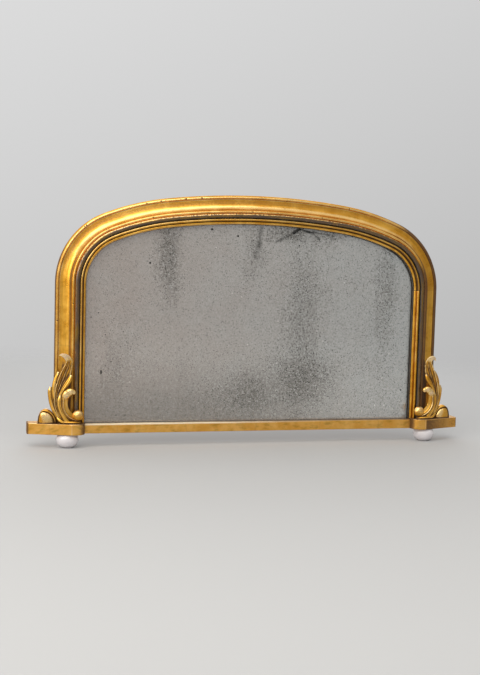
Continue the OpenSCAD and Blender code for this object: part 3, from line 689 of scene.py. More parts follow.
foxing = {
    "clear": (0.60, 0.53, 0.485), "cool": (0.685, 0.705, 0.692), "dark": (0.17, 0.16, 0.145),
    "spot": (0.012, 0.011, 0.010), "glint": (0.90, 0.89, 0.87),
    # the curves of the glass's right side: the corner's centre and radius, then the shoulder's
    "corner": (0.298, 0.376), "sight": 0.109, "shoulder": (0.141, 0.0005, 0.516),
    "rim": (0.0050, 0.0038), "rimFrom": (0.336, 0.346),                 # the black rim down the right side, a painted shadow of the slip's edge
    "topRim": (0.0032, 0.0020), "topRimFrom": (0.10, 0.30), "topRimTo": (0.338, 0.344),
    # soft bands where the speckle is thick: x, z, half width, half height, strength
    "bands": [(-0.212, 0.45, 0.035, 0.13, 0.9), (-0.004, 0.47, 0.03, 0.10, 0.6),
              (0.120, 0.30, 0.055, 0.22, 0.7), (0.115, 0.16, 0.09, 0.08, 0.9),
              (0.335, 0.38, 0.030, 0.22, 0.6), (0.08, 0.50, 0.06, 0.025, 1.0),
              (0.18, 0.50, 0.05, 0.02, 0.8), (-0.01, 0.12, 0.10, 0.06, 0.6), (-0.33, 0.19, 0.05, 0.09, 0.35)],
    # dark veins at the top: from x, z to x, z, half width, strength
    "veins": [(0.048, 0.485, 0.091, 0.507, 0.0055, 0.6), (0.091, 0.507, 0.105, 0.518, 0.006, 0.9),
              (0.105, 0.518, 0.139, 0.509, 0.0055, 0.95), (0.139, 0.509, 0.156, 0.495, 0.0045, 0.7),
              (0.139, 0.512, 0.182, 0.505, 0.0045, 0.7), (0.010, 0.518, 0.005, 0.478, 0.010, 0.4),
              (0.005, 0.478, -0.003, 0.447, 0.012, 0.3)],
    # single marks: x, z, half width, half height
    "marks": [(-0.257, 0.427, 0.0028, 0.0028), (-0.367, 0.171, 0.0022, 0.0065),
              (-0.344, 0.195, 0.0020, 0.0020), (-0.330, 0.070, 0.0026, 0.0018),
              (-0.309, 0.070, 0.0026, 0.0024), (-0.111, 0.510, 0.0036, 0.0028),
              (-0.047, 0.496, 0.0030, 0.0026), (0.407, 0.082, 0.0050, 0.0110),
              (0.106, 0.478, 0.0024, 0.0024), (0.345, 0.300, 0.0022, 0.0020),
              (0.385, 0.125, 0.0024, 0.0024), (0.150, 0.215, 0.0022, 0.0020)],
}


def distance(a, b):
    # root(a^2 + b^2)
    return (a * a + b * b) ** 0.5


def thickBands(f, x, z, wave):
    # the strongest of the soft bands: strength at a band's centre, wobbled, and 0 at 1.6 times its radii
    thick = None
    for cx, cz, rx, rz, strength in f["bands"]:
        part = (1 - distance((x - cx + wave) / rx, (z - cz + wave) / rz).rise(0.0, 1.6)) * strength
        thick = thick.most(part) if thick else part
    return thick


def veined(paint, f, x, z, coarse, tone):
    # dark veins: distance from the line between the two ends of each, made ragged by the coarse noise
    for ax, az, bx, bz, width, strong in f["veins"]:
        dx, dz = bx - ax, bz - az
        t = (((x - ax) * dx + (z - az) * dz) / (dx * dx + dz * dz)).clip()
        off = distance(x - (t * dx + ax), z - (t * dz + az)) + (coarse - 0.5) * 0.012
        tone = paint.mix((1 - off.rise(0.0, width)) * strong, tone, f["spot"])
    return tone


def blackRim(f, x, z):
    # painted shadow at the edge of the silver, where the slip's shaded edge shows: distance out from the
    # centres of the corner's and the shoulder's curves
    (cornerX, cornerZ), sight, (shoulderX, shoulderZ, radius) = f["corner"], f["sight"], f["shoulder"]
    out = distance((x - cornerX).most(0.0), (z - cornerZ).clip())
    rim = out.rise(*(sight - depth for depth in f["rim"])) * x.rise(*f["rimFrom"])
    over = distance(x - shoulderX, z - shoulderZ) - radius
    top = over.rise(*(-depth for depth in f["topRim"]))
    top = top * x.rise(*f["topRimFrom"]) * (1 - x.rise(*f["topRimTo"]))
    return (rim + top).clip()


def silverPaint(f):
    # a mirror film from the front: clear grey, clouded, and peppered with dark specks that thicken in bands
    paint = Paint("foxedSilver")
    where = paint.place()
    x, z = paint.part(where, 0), paint.part(where, 2)
    thick = thickBands(f, x, z, (paint.noise(where, 9, 3) - 0.5) * 0.06)
    cloud = paint.noise(where, 12, 5, 0.6)
    patch = paint.noise(paint.stretched(where, (16, 16, 5)), 1, 4, 0.6)
    streak = paint.noise(paint.stretched(where, (75, 75, 4)), 1, 3, 0.6)
    grain = paint.noise(where, 215, 4, 0.68)
    coarse = paint.noise(where, 75, 3, 0.65)
    # warm at the left, cool at the right
    tone = paint.mix((x * 1.1 + 0.45 + (cloud - 0.5) * 0.6).clip(), f["clear"], f["cool"])
    # haze in the bands and in upright streaks; darker towards the bottom, most of all at the lower left
    haze = (thick * 0.95 + (patch - 0.5) * 0.75 + (streak - 0.5) * 0.5).rise(0.0, 1.1)
    haze = haze + (1 - z.rise(0.06, 0.26)) * (1 - x.rise(-0.10, 0.30)) * 0.85
    haze = haze + (1 - z.rise(0.06, 0.24)) * 0.32
    tone = paint.mix((haze * 0.5).clip(), tone, f["dark"])
    # the grain is faint at the left edge and strong where the speckle is thick
    strength = (x * 0.45 + thick * 0.65 + 0.46).clip()
    pepper = (grain * 0.80 + coarse * 0.20 + thick * 0.03).rise(0.50, 0.66) * strength
    tone = paint.mix(pepper, tone, f["dark"])
    tone = paint.mix((1 - grain).rise(0.50, 0.66) * strength * 0.60, tone, f["glint"])
    # fly specks of many sizes, in some of the cells only
    small = paint.cells(where, 290) + (grain - 0.5) * 0.5
    chance = paint.cells(where, 290, 1)
    few, large = (paint.part(chance, k, "ShaderNodeSeparateColor") for k in (1, 2))
    fly = (1 - (small - large * 0.22).rise(0.05, 0.30)) * (few + thick * 0.25 + patch * 0.2).rise(0.80, 0.98)
    tone = paint.mix((fly * (strength * 0.7 + 0.2)).clip(), tone, f["spot"])
    # rare black spots, and the single marks
    pick = paint.part(paint.cells(where, 120, 1), 0, "ShaderNodeSeparateColor")
    dots = paint.cells(where, 120) + (grain - 0.5) * 0.4
    spots = (1 - dots.rise(0.12, 0.28)) * (pick + thick * 0.18).rise(0.95, 0.98)
    for cx, cz, rx, rz in f["marks"]:
        reach = distance((x - cx) / rx, (z - cz) / rz) + (coarse - 0.5) * 0.6
        spots = spots.most(1 - reach.rise(0.7, 1.1))
    tone = veined(paint, f, x, z, coarse, paint.mix(spots.clip(), tone, f["spot"]))
    # a painted shadow down the right side and along the top
    rim = blackRim(f, x, z)
    tone = paint.mix(rim * 0.95, tone, f["spot"])
    lost = (spots + rim + pepper * 0.2).clip()
    paint.surface(Base_Color=tone, Metallic=(0.72 - lost * 0.72).clip(),
                  Roughness=(0.17 + lost * 0.3 + patch * 0.05).clip(), Specular_IOR_Level=0.25)
    return paint.material


def glassPaint():
    # thin clear plate with the slow unevenness of old glass
    paint = Paint("oldPlate")
    slow = paint.noise(paint.place(), 6, 2)
    paint.surface(Base_Color=paint.mix(slow, (0.22, 0.26, 0.24), (0.30, 0.33, 0.31)),
                  Alpha=0.04, Roughness=0.04, IOR=1.5, Normal=paint.bump(slow, 0.05, 0.002))
    return paint.material


dress("silvering", silverPaint(foxing))
dress("mirror_glass", glassPaint())
print("glass and silvering dressed")


# the base: a middle rail, and two projecting ends canted back to the wall
base = {
    "foot": 0.031, "railTop": 0.053, "blockTop": 0.056, "railDepth": 0.038, "ledge": 0.044,
    "inner": 0.405, "outer": 0.535, "depth": 0.063, "endDepth": 0.030, "return": 0.021, "front": 0.010,
    "boardNotch": 0.4262, "plateNotch": 0.4142,        # the ends are cut away for the boards and the plate
    "arris": 0.0009,                                   # worn rounding of the edges
    "step": 0.0012, "railRows": 541, "levels": 12,
    "railSwell": 0.00035, "blockSwell": 0.0003,
    "innerShade": {1: 0.007, -1: 0.015}, "endDark": {1: 0.0018, -1: 0.0048},   # widths of the painted shade at the inner end and of the darker end face, right end and left
    "dirtAndShadow": (0.411, 0.514),                            # painted shadow and dirt lie on top between these, round the carving
}


def roundedLoop(points, cut, step):
    # a closed outline with its corners cut back and bent round as quadratic curves, resampled at even steps
    p = np.asarray(points, float)
    before, after = np.roll(p, 1, 0) - p, np.roll(p, -1, 0) - p
    ends = []
    for v in (before, after):
        length = np.linalg.norm(v, axis=1, keepdims=True)
        ends.append(p + v / length * np.minimum(cut, 0.49 * length))
    t = np.linspace(0, 1, 7)[None, :, None]
    bent = (1 - t) ** 2 * ends[0][:, None] + 2 * t * (1 - t) * p[:, None] + t ** 2 * ends[1][:, None]
    bent = bent.reshape(-1, 2)
    run = np.concatenate([bent, bent[:1]])
    length = runLengths(run)
    even = np.arange(0, length[-1] - step / 2, step)
    return np.stack([np.interp(even, length, run[:, k]) for k in range(2)], -1)


def inset(loop, by):
    # the outline moved inwards along its normals, whichever way round it runs
    x, y = loop[:, 0], loop[:, 1]
    turn = np.sign(np.sum(x * np.roll(y, -1) - np.roll(x, -1) * y))
    return loop + loopNormals(loop) * by * turn


def slab(b, loop, low, high, worn):
    # an upright block: the outline at rising levels, drawn in round a worn arris and closed over. worn says
    # how rubbed the lower and the upper arris are, 0 for none. Also returns how rubbed each level is
    e = b["arris"]
    roundUp = [(0, e), (0.4 * e, 0.15 * e), (e, 0), (2.5 * e, 0), (6 * e, 0)]   # inset, distance from the end
    under = [(d, low + z) for d, z in reversed(roundUp)] if worn[0] else [(0, low)]
    over = [(d, high - z) for d, z in roundUp] if worn[1] else [(0, high)]
    levels = under + [(0, z) for z in np.linspace(low + 2 * e, high - 2 * e, b["levels"])] + over
    rows = [np.column_stack([inset(loop, d), np.full(len(loop), z)]) for d, z in levels]
    d, z = np.array(levels).T
    rim = sum(amount * bell(np.minimum(abs(z - end) + abs(d - 0.3 * e), 1), 0, 1.3 * e)
              for amount, end in zip(worn, (low, high)))
    return np.array(rows), rim


def wobble(points, size):
    # slow unevenness of hand work, from the place itself
    x, y, z = (points[..., k] for k in range(3))
    slow = ripple(x / 0.021, z / 0.013 + y / 0.017, 5) - 0.5
    quick = ripple(x / 0.006, z / 0.005 + y / 0.006, 6) - 0.5
    return points + ((slow + 0.4 * quick) * size)[..., None] * np.array([0.25, 1.0, 0.6])


def makeRail(b, material):
    # the rail: its section (y, z) carried from block to block
    wall, e = arch["wall"], b["arris"]
    front, plate = wall - b["railDepth"], wall - moulding["plateHeight"]
    loop = roundedLoop([(wall, b["foot"]), (front, b["foot"]), (front, b["railTop"]), (plate, b["railTop"]),
                        (plate, b["ledge"]), (wall, b["ledge"])], 1.6 * e, b["step"])
    x = np.linspace(-b["inner"], b["inner"], b["railRows"])[:, None]
    y, z = loop[None, :, 0], loop[None, :, 1]
    grid = np.stack(np.broadcast_arrays(x, y, z), -1)
    topEdge = bell(np.hypot(y - front, z - b["railTop"]), 0, 2.2 * e)
    lowEdge = bell(np.hypot(y - front, z - b["foot"]), 0, 1.6 * e)
    onTop = (z > b["railTop"] - 0.0004) & (y > front + 0.001)
    glassLine = bell(np.maximum(plate - y, 0), 0, 0.0016) * onTop      # darker where the glass stands on it
    hidden = y > plate + 0.0005
    leftward = 0.5 - 0.5 * np.tanh(x / 0.16)                           # the left half catches the light
    # a strip along the top of the front face, a painted highlight on the left
    strip = held((z - b["railTop"] + 0.0038) / 0.0012) * (y < front + 0.002)
    # painted light: the top and its edge lighter on the left half and darker on the right half
    values = {"wearAndHighlight": ((0.5 + 1.5 * leftward) * (topEdge + onTop * (1 - glassLine)) + 0.4 * lowEdge
                         + 1.1 * strip * leftward),
              "dirtAndShade": glassLine + 0.12 + 0.45 * (1 - leftward) * onTop,
              "bare": hidden * 1.0, "along": x, "across": y + z}
    points = wobble(grid, b["railSwell"] * (1 - hidden))
    makePiece("gilt_base_rail", "base_rail", [(points, values)], material)


def makeBlock(b, side, name, material):
    # one end: a whole slab, and on it a slab that is notched at the back for the boards and the plate
    wall, e = arch["wall"], b["arris"]
    plate, frontEnd = wall - moulding["plateHeight"], b["inner"] + b["return"] + b["front"]
    turn = arcPoints((b["inner"] + b["return"], wall - b["depth"] + b["return"]), b["return"], b["return"],
                     180, 270, 12)
    front = [*turn, (frontEnd, wall - b["depth"]), (b["outer"], wall - b["endDepth"]), (b["outer"], wall)]
    boardFront = wall - moulding["board"]
    notched = front + [(b["boardNotch"], wall), (b["boardNotch"], boardFront), (b["plateNotch"], boardFront),
                       (b["plateNotch"], plate), (b["inner"], plate)]
    grids = []
    for outline, low, high, worn in ((front + [(b["inner"], wall)], b["foot"], b["ledge"], (0.8, 0)),
                                     (notched, b["ledge"], b["blockTop"], (0, 1.2))):
        loop = roundedLoop(outline, 1.2 * e, b["step"])
        points, rim = slab(b, loop, low, high, worn)
        x, y, z = (points[..., k] for k in range(3))
        corner = sum(0.8 * bell(np.hypot(loop[:, 0] - cx, loop[:, 1] - cy), 0, 0.0014)
                     for cx, cy in ((b["outer"], wall - b["endDepth"]), (frontEnd, wall - b["depth"])))
        back = y > wall - 0.0004
        # painted shade in the corner at the inner end
        innerEnd = bell(x, b["inner"], b["innerShade"][side])
        past = x - frontEnd                                            # how far along the canted face
        # painted shade on the right end's canted face
        canted = (side > 0) * held(past / 0.004) * (0.82 - 0.4 * held(past / 0.09))
        # darker on the end face
        end = held((x - b["outer"] + b["endDark"][side]) / 0.0012)
        # painted shadow and dirt on the top, round the carving
        topShadowAndDirt = held((b["dirtAndShadow"][1] - x) / 0.003) * held((x - b["dirtAndShadow"][0]) / 0.003)
        topShadowAndDirt = topShadowAndDirt * held((y - wall + b["depth"] - 0.0016) / 0.001) * (z > b["blockTop"] - 0.0002)
        values = {"wearAndHighlight": np.maximum(rim[:, None], corner[None]) * (1 - 0.9 * end), "bare": back * 1.0,
                  "dirtAndShade": (0.12 + 0.8 * innerEnd + canted * (z < b["blockTop"] - 0.001) + 0.75 * end
                            + topShadowAndDirt),
                  "along": x * side, "across": y + z}
        grids.append((wobble(points, b["blockSwell"] * (1 - back)) * (side, 1, 1), values))
    makePiece("gilt_" + name, name, grids, material)


oilColours = {**gilding, "bright": (0.88, 0.50, 0.12), "plain": (0.76, 0.37, 0.055),
              "pale": (1.0, 0.70, 0.38)}
basePaint = gildedPaint("oilGilding", oilColours, matt=0.12, deep=True, brush=(45, 90, 1))
makeRail(base, basePaint)
makeBlock(base, 1, "base_block_right", basePaint)
makeBlock(base, -1, "base_block_left", basePaint)
print("base made")


foot = {
    "x": 0.4435, "depth": 0.0345, "height": 0.031, "radius": 0.026,
    "core": 0.010, "waist": 0.61, "taper": 1.35,
    "recess": 0.007, "recessTop": 0.009, "hole": 0.0027, "around": 72, "swell": 0.00035,
    "lowTurn": 75, "highTurn": 50,   # degrees of the belly's arc below and above the waist
}


def porcelainPaint():
    # clear glaze over a white body: faint clouding, fine crackle, dust and rub marks near the sole
    paint = Paint("glazedPorcelain")
    where = paint.place()
    height = paint.part(where, 2)
    cloud = paint.noise(where, 70, 3)
    speck = paint.noise(where, 420, 4, 0.7)
    tone = paint.mix(cloud, (0.78, 0.745, 0.76), (0.70, 0.665, 0.69))
    crackle = 1 - paint.cells(where, 190, 0, "DISTANCE_TO_EDGE").rise(0.0, 0.035)
    tone = paint.mix(crackle * 0.14, tone, (0.42, 0.36, 0.31))
    low = (1 - height.rise(0.0, 0.010)) * (0.35 + speck * 0.6)
    tone = paint.mix(low.clip() * 0.45, tone, (0.42, 0.37, 0.33))
    # dirt in specks, and a painted shadow at the top, under the block
    dirtAndShadow = (speck + height.rise(0.0285, 0.031) * 0.3).rise(0.70, 0.82)
    tone = paint.mix(dirtAndShadow * 0.5, tone, (0.30, 0.24, 0.20))
    paint.surface(Base_Color=tone, Roughness=(0.16 + low * 0.25 + dirtAndShadow * 0.2).clip(), Coat_Weight=0.8,
                  Coat_Roughness=0.06, Specular_IOR_Level=0.5,
                  Normal=paint.bump(cloud * 0.7 + speck * 0.15, 0.25, 0.0008))
    return paint.material


def footProfile(f):
    # (radius, height) from the screw hole down the recess, over the sole and the belly's oval arc to the top
    waist, belly, r = f["waist"] * f["height"], f["radius"] - f["core"], f["recess"]
    lowTurn, highTurn = f["lowTurn"], f["highTurn"]
    low = arcPoints((f["core"], waist), belly, waist / math.sin(math.radians(lowTurn)), -lowTurn, 0, 26)
    low[:, 0] = f["core"] + belly * ((low[:, 0] - f["core"]) / belly) ** f["taper"]
    high = arcPoints((f["core"], waist), belly, (f["height"] - waist) / math.sin(math.radians(highTurn)),
                     0, highTurn, 16)
    soft = 0.0006                                                      # rounding of the recess
    recess = [(f["hole"], f["recessTop"]), (r - soft, f["recessTop"]), (r, f["recessTop"] - soft), (r, soft),
              (r + 0.0005, 0.0)]
    return np.concatenate([recess, line((r + 0.001, 0.0), low[0], 5), low, high[1:],
                           [(f["core"] + belly * 0.5, f["height"]), (f["hole"], f["height"])]])


def makeFoot(f, side, name, material):
    # the profile turned about its axis, point = axis + radius (cos a, sin a), a little out of true
    profile = footProfile(f)
    angle = np.linspace(0, 2 * np.pi, f["around"], endpoint=False)
    height = profile[:, 1:]
    lift = f["swell"] * (ripple(1.5 + 1.5 * np.cos(angle)[None], height / 0.009, 11 + side) - 0.5)
    radius = profile[:, :1] + lift * np.sin(held(height / f["height"]) * np.pi)
    points = np.stack([side * f["x"] + radius * np.cos(angle),
                       arch["wall"] - f["depth"] + radius * np.sin(angle),
                       np.broadcast_to(height, radius.shape)], -1)
    makePiece("porcelain_" + name, name, [(points, {})], material, sharp=40)


footPaint = porcelainPaint()
makeFoot(foot, 1, "foot_right", footPaint)
makeFoot(foot, -1, "foot_left", footPaint)
print("feet made")


# the carving on the end blocks, in mm: (across from the middle of the mirror, off the wall, above the soles).
# Each strip has its half width, its front height and its back thickness at even steps along its path
leaf = {
    "main": {
        "path": [(446, 47, 54), (456, 45.5, 66), (463.5, 45, 79), (468.2, 44.6, 92), (470, 45, 106),
                 (468, 45, 122), (462.5, 45, 140), (456, 45.5, 157), (450, 46, 174), (444.8, 48, 190),
                 (444.3, 51, 202), (450.5, 53.5, 210.3), (458.5, 54.5, 214), (465.2, 54, 213.6)],
        # the tip at the right end of the mirror bends down more: it takes the place of the path's last points
        "rightEnd": [(444.8, 48, 190), (444.3, 51, 201), (449, 54, 208.5), (456.5, 54, 208.5),
                     (461.5, 51.5, 202.5)],
        "half": [5.5, 5.5, 5.2, 5, 5.2, 7.5, 11, 12.8, 12.4, 10, 7.6, 6.2, 4, 0.8],
        "front": [3.6, 3.6, 3.4, 3.2, 3.4, 3.8, 4.2, 4.4, 4.4, 4, 3.4, 3, 2.2, 0.5],
        "back": [3, 3, 3, 3, 3, 3.5, 4, 4, 4, 3.5, 3, 2.4, 1.6, 0.5],
        "tilt": [0, 0, 0, 0, 0, 4, 9, 13, 17, 20, 14, 0, 0, 0],   # degrees, the outer rim forward
        "shape": "dished", "dish": [0.1, 0.3, 0.5, 0.7, 0.85, 1.05, 1.15, 1.2, 1.15, 1.0, 0.6, 0.15, 0, 0],
        "rows": 170,
        # nicks in the rims: place along the path, rim, depth, width
        "notches": [(0.715, -1, 0.24, 0.010), (0.67, -1, 0.16, 0.008), (0.625, 1, 0.10, 0.009),
                    (0.745, 1, 0.12, 0.008), (0.49, 1, 0.12, 0.012), (0.44, -1, 0.14, 0.012)],
    },
    "outer": {
        "path": [(450, 45, 56), (460, 43.5, 66), (468.5, 41, 78), (475.2, 38.3, 92), (480, 36.5, 107),
                 (482.5, 35.8, 121), (483.6, 35.6, 131), (483.0, 36, 139.6)],
        "half": [5, 5.6, 6.4, 7, 6.8, 6.4, 5.4, 2.6], "front": [3.5, 4, 4, 4, 3.9, 3.7, 3.2, 1.2],
        "back": [3, 3, 3, 3, 3, 3, 2.5, 0.8], "shape": "rolled", "groove": -0.25, "rows": 90,
    },
    "shoulder": {
        "path": [(468, 42.5, 104), (472.5, 41, 116), (474.6, 39.8, 131), (473.2, 39.4, 147),
                 (469.6, 39.8, 161), (465.2, 40.4, 174.5)],
        "half": [3.8, 5.4, 6.2, 6.4, 5.6, 2.8], "front": [3.4, 4.2, 4.6, 4.6, 4.2, 1.8],
        "back": [3, 3, 3, 3, 3, 1], "shape": "rolled", "groove": -0.45, "rows": 80,
    },
    "inner": {
        "path": [(462, 48.2, 122), (456, 50, 134), (448.5, 50.8, 146.5), (441.8, 50.8, 157.5),
                 (438, 49.8, 168)],
        "half": [3.4, 4.8, 5.6, 5.2, 2.4], "front": [3, 4, 4.4, 4, 1.6], "back": [3, 3, 3, 3, 1],
        "shape": "rolled", "groove": 0.35, "rows": 70,
    },
    "fanLow": {
        "path": [(468, 45.5, 70), (461.5, 49, 63.5), (453, 51, 59), (445, 51, 56.6)],
        "half": [2.5, 3.6, 3.4, 1.4], "front": [2.5, 3.2, 3, 1], "back": [3, 3, 3, 1],
        "shape": "rolled", "groove": 0.2, "rows": 46,
    },
}
scroll = {
    "band": {
        "path": [(431.4, 55, 125), (433.6, 56.6, 129.2), (439.5, 57.2, 130.4), (446.2, 56.8, 127),
                 (450.8, 55.2, 119.5), (452.6, 53.4, 109), (452.4, 52.8, 97), (448.6, 52.6, 85.5),
                 (441, 52.2, 75.6), (431, 51.5, 69), (421, 50.5, 66), (412.8, 49.5, 69.5), (411.2, 48, 77)],
        "half": [3.2, 6.2, 8.2, 9, 8.4, 7.4, 7.6, 8, 8.2, 7.2, 5, 3, 0.8],
        "front": [3, 4.8, 5.2, 5.2, 5.2, 5.4, 5.8, 6, 6, 5.6, 4.6, 3, 0.8],
        "back": [3, 5, 5.5, 5.5, 5.5, 5.5, 5, 5, 5, 5, 5, 4, 1], "shape": "scrolled", "rows": 200,
    },
    "stem": {
        "path": [(440, 52, 55.5), (448.5, 51.6, 66), (455.8, 51.2, 78.5), (461.6, 50.5, 92), (463.9, 50, 104),
                 (463, 49.6, 114), (460.6, 49, 125.5)],
        "half": [5.4, 5.6, 5.2, 4.9, 4.9, 4.6, 1.9], "front": [3.6, 3.8, 3.8, 3.8, 3.6, 3.2, 1.2],
        "back": [4, 4, 4, 4, 3.5, 3, 1], "shape": "rolled", "groove": -0.1, "rows": 90,
    },
    "pad": {
        "path": [(453, 50.5, 60.5), (444, 52.6, 59.6), (434, 53.4, 59), (424, 52, 58.6), (414.5, 50, 57)],
        "half": [2.4, 4.2, 4.4, 4, 1.4], "front": [3, 5.4, 6.4, 5.6, 1.6], "back": [3, 5, 5, 5, 2],
        "shape": "rolled", "groove": -0.2, "rows": 60,
    },
}
ball = {"centre": (422, 51, 75), "radius": 12.8, "depth": 10.1, "around": 96, "rows": 56}
mound = {
    "centre": (490.2, 30.9), "half": 21.4, "halfDepth": 11.3, "height": 33, "lean": 4.0,
    "around": 160, "rows": 60, "topRows": 24,
}
carving = {"foot": 56.1, "faceColumns": 57, "backColumns": 15}


def leafFace(strip, u, t):
    # a hollow leaf: rims stand up, a midrib and fine grooves run along it, slanting veins leave the rib
    edge = np.sqrt(held(1 - abs(u) ** 5))
    dish = curveAt(strip["dish"], t[:, 0])[:, None]
    deep = held(dish)
    bowl = 1 - dish * (1 - abs(u) ** 2.4)
    rib = bell(u, 0, 0.10) * deep
    veins = np.cos(2 * np.pi * (9 * t - 1.3 * abs(u))) * (1 - abs(u) ** 3) * deep
    grooves = np.cos(2 * np.pi * 2.3 * abs(u) ** 0.9) * (1 - abs(u) ** 4) * deep
    height = edge * (bowl + 0.24 * rib + 0.07 * veins + 0.06 * grooves)
    tip = held((t - 0.74) / 0.1)
    # the rims and tip take wear and painted highlights; the bowl, grooves, veins and edges dirt and painted
    # shade
    wearAndHighlight = 0.9 * bell(abs(u), 0.86, 0.13) + 0.5 * rib + 0.4 * held(grooves) + 1.9 * tip * edge
    dirtAndShade = ((0.14 + 0.26 * deep * (1 - abs(u) ** 3) + 0.55 * held(-grooves) + 0.2 * held(-veins)) * (1 - tip)
             + 0.9 * (1 - edge) ** 2)
    return height, wearAndHighlight, dirtAndShade


def lobeFace(strip, u, t):
    # a rounded lobe with one cut line along it
    edge = np.sqrt(held(1 - abs(u) ** 5))
    cut = bell(u, strip["groove"], 0.25) * held(1.3 - 1.4 * abs(2 * t - 1))
    height = np.sqrt(held(1 - u ** 2)) - 0.22 * cut
    # a painted highlight along the lobe's front; painted shade in the cut and at its edges
    wearAndHighlight = 0.62 * bell(u, 0.15, 0.42) * (1 - cut) + 0.9 * held((t - 0.84) / 0.12) * edge
    return height, wearAndHighlight, 0.08 + 0.5 * cut + 0.9 * abs(u) ** 4


def bandFace(strip, u, t):
    # a C-scroll: a steep outer side, a narrow fillet at the arris, and a hollow face falling to the inside.
    # near its free end it is rolled forward, with two swellings across it
    crest = -0.30
    outerSide = np.sqrt(held(1 - ((crest - u) / (1 + crest)) ** 2))
    fall = held((u - crest) / (1 - crest))
    face = np.where(u < crest, 0.92 * outerSide, (0.16 + 0.76 * (1 - fall) ** 1.8) * np.sqrt(1 - fall ** 10))
    fillet = bell(u, crest, 0.085)
    channel = bell(u, crest + 0.19, 0.08)
    rolled = held(1 - (t - 0.33) / 0.06)
    swelling = 0.5 + 0.5 * np.cos(2 * np.pi * (t - 0.045) / 0.125)
    end = np.sqrt(held(1 - u ** 2)) * (0.80 + 0.22 * swelling ** 0.8)
    height = rolled * end + (1 - rolled) * (face + 0.12 * fillet - 0.14 * channel)
    # painted highlights on the rolled end and the hollow face; painted shade in the channel and outer side
    wearAndHighlight = (rolled * 1.8 * (0.6 + 0.4 * swelling) * (1 - u ** 2)
              + (1 - rolled) * (1.5 * fillet + 0.9 * fall * (1 - fall ** 6)))
    dirtAndShade = (0.04 + rolled * 0.6 * (1 - swelling) ** 4
             + (1 - rolled) * (0.7 * channel + 0.72 * (u < crest - 0.1)) + 0.4 * u ** 8)
    return height, wearAndHighlight, dirtAndShade


carvedFaces = {"dished": leafFace, "rolled": lobeFace, "scrolled": bandFace}


def carvedStrip(strip, side):
    # a strip of carving along a curve p(t): point = p + across * half * u + outward * height(u, t) in front,
    # with u from -1 to 1, and p + across * half * u - outward * back * root(1 - u^2) behind
    t = np.linspace(0, 1, strip["rows"])
    ending = strip.get("rightEnd", []) if side > 0 else []
    p = curveAt(strip["path"][:len(strip["path"]) - len(ending)] + ending, t)
    half, tall, thick = (curveAt(strip[key], t)[:, None] for key in ("half", "front", "back"))
    tangent = np.gradient(p, axis=0)
    tangent /= np.linalg.norm(tangent, axis=1, keepdims=True)
    across = np.cross([0.0, 1.0, 0.0], tangent)
    across /= np.linalg.norm(across, axis=1, keepdims=True)
    outward = np.cross(tangent, across)
    turn = np.radians(curveAt(strip.get("tilt", [0, 0]), t))[:, None]
    across, outward = (across * np.cos(turn) + outward * np.sin(turn),
                       outward * np.cos(turn) - across * np.sin(turn))
    a = np.linspace(-1, 1, carving["faceColumns"])
    u = 0.5 * a + 0.5 * np.sin(a * np.pi / 2)                          # closer together at the rims
    shape, wearAndHighlight, dirtAndShade = carvedFaces[strip["shape"]](strip, u[None], t[:, None])
    behind = np.cos(np.linspace(0, np.pi, carving["backColumns"] + 2))[1:-1]
    wide = np.broadcast_to(np.concatenate([u, behind]), (len(t), len(u) + len(behind)))
    high = np.concatenate([tall * shape, -thick * np.sqrt(1 - behind[None] ** 2)], 1)
    pinch = np.ones_like(wide)
    for place, rim, depth, width in strip.get("notches", []):
        pinch -= depth * bell(t[:, None], place, width) * held(wide * rim) ** 2
    points = p[:, None] + across[:, None] * (half * wide * pinch)[..., None]
    points = points + outward[:, None] * high[..., None]
    points[..., 2] = np.maximum(points[..., 2], carving["foot"])
    rest = np.zeros((len(t), len(behind)))
    low = bell(points[..., 2], carving["foot"], 3.0)                   # painted shadow along the block
    return points, {"wearAndHighlight": np.concatenate([wearAndHighlight, rest], 1) * (1 - low),
                    "dirtAndShade": np.concatenate([dirtAndShade, rest + 0.5], 1) + 0.9 * low}


def carvedStrips(strips, side):
    # every strip of one ornament
    return [carvedStrip(strip, side) for strip in strips.values()]


def turnedBall(b):
    # an oval ball: (radius sin v cos a, depth cos v, radius sin v sin a), with a groove winding inwards
    v = np.linspace(0.03, np.pi - 0.03, b["rows"])[:, None]
    a = np.linspace(0, 2 * np.pi, b["around"], endpoint=False)[None]
    inward = np.sin(v)
    wind = (0.5 + 0.5 * np.cos(a + 2 * np.pi * 1.35 * inward + 0.6)) ** 10
    wind = wind * (v < np.pi / 2) * held(inward * 2.2 - 0.5)
    radius, depth = b["radius"] * (1 - 0.015 * wind), b["depth"] * (1 - 0.075 * wind)
    points = np.stack([b["centre"][0] + radius * inward * np.cos(a), b["centre"][1] + depth * np.cos(v),
                       b["centre"][2] + radius * inward * np.sin(a)], -1)
    points[..., 2] = np.maximum(points[..., 2], carving["foot"])
    # a painted highlight on the upper side; painted shade in the groove and on the back half
    upper = 0.4 + 0.6 * held(np.sin(a) * inward + 0.4)
    return points, {"wearAndHighlight": 0.95 * (1 - 0.4 * wind) * (np.cos(v) > 0) * upper,
                    "dirtAndShade": 0.08 + 0.4 * wind + 0.5 * (np.cos(v) < 0)}


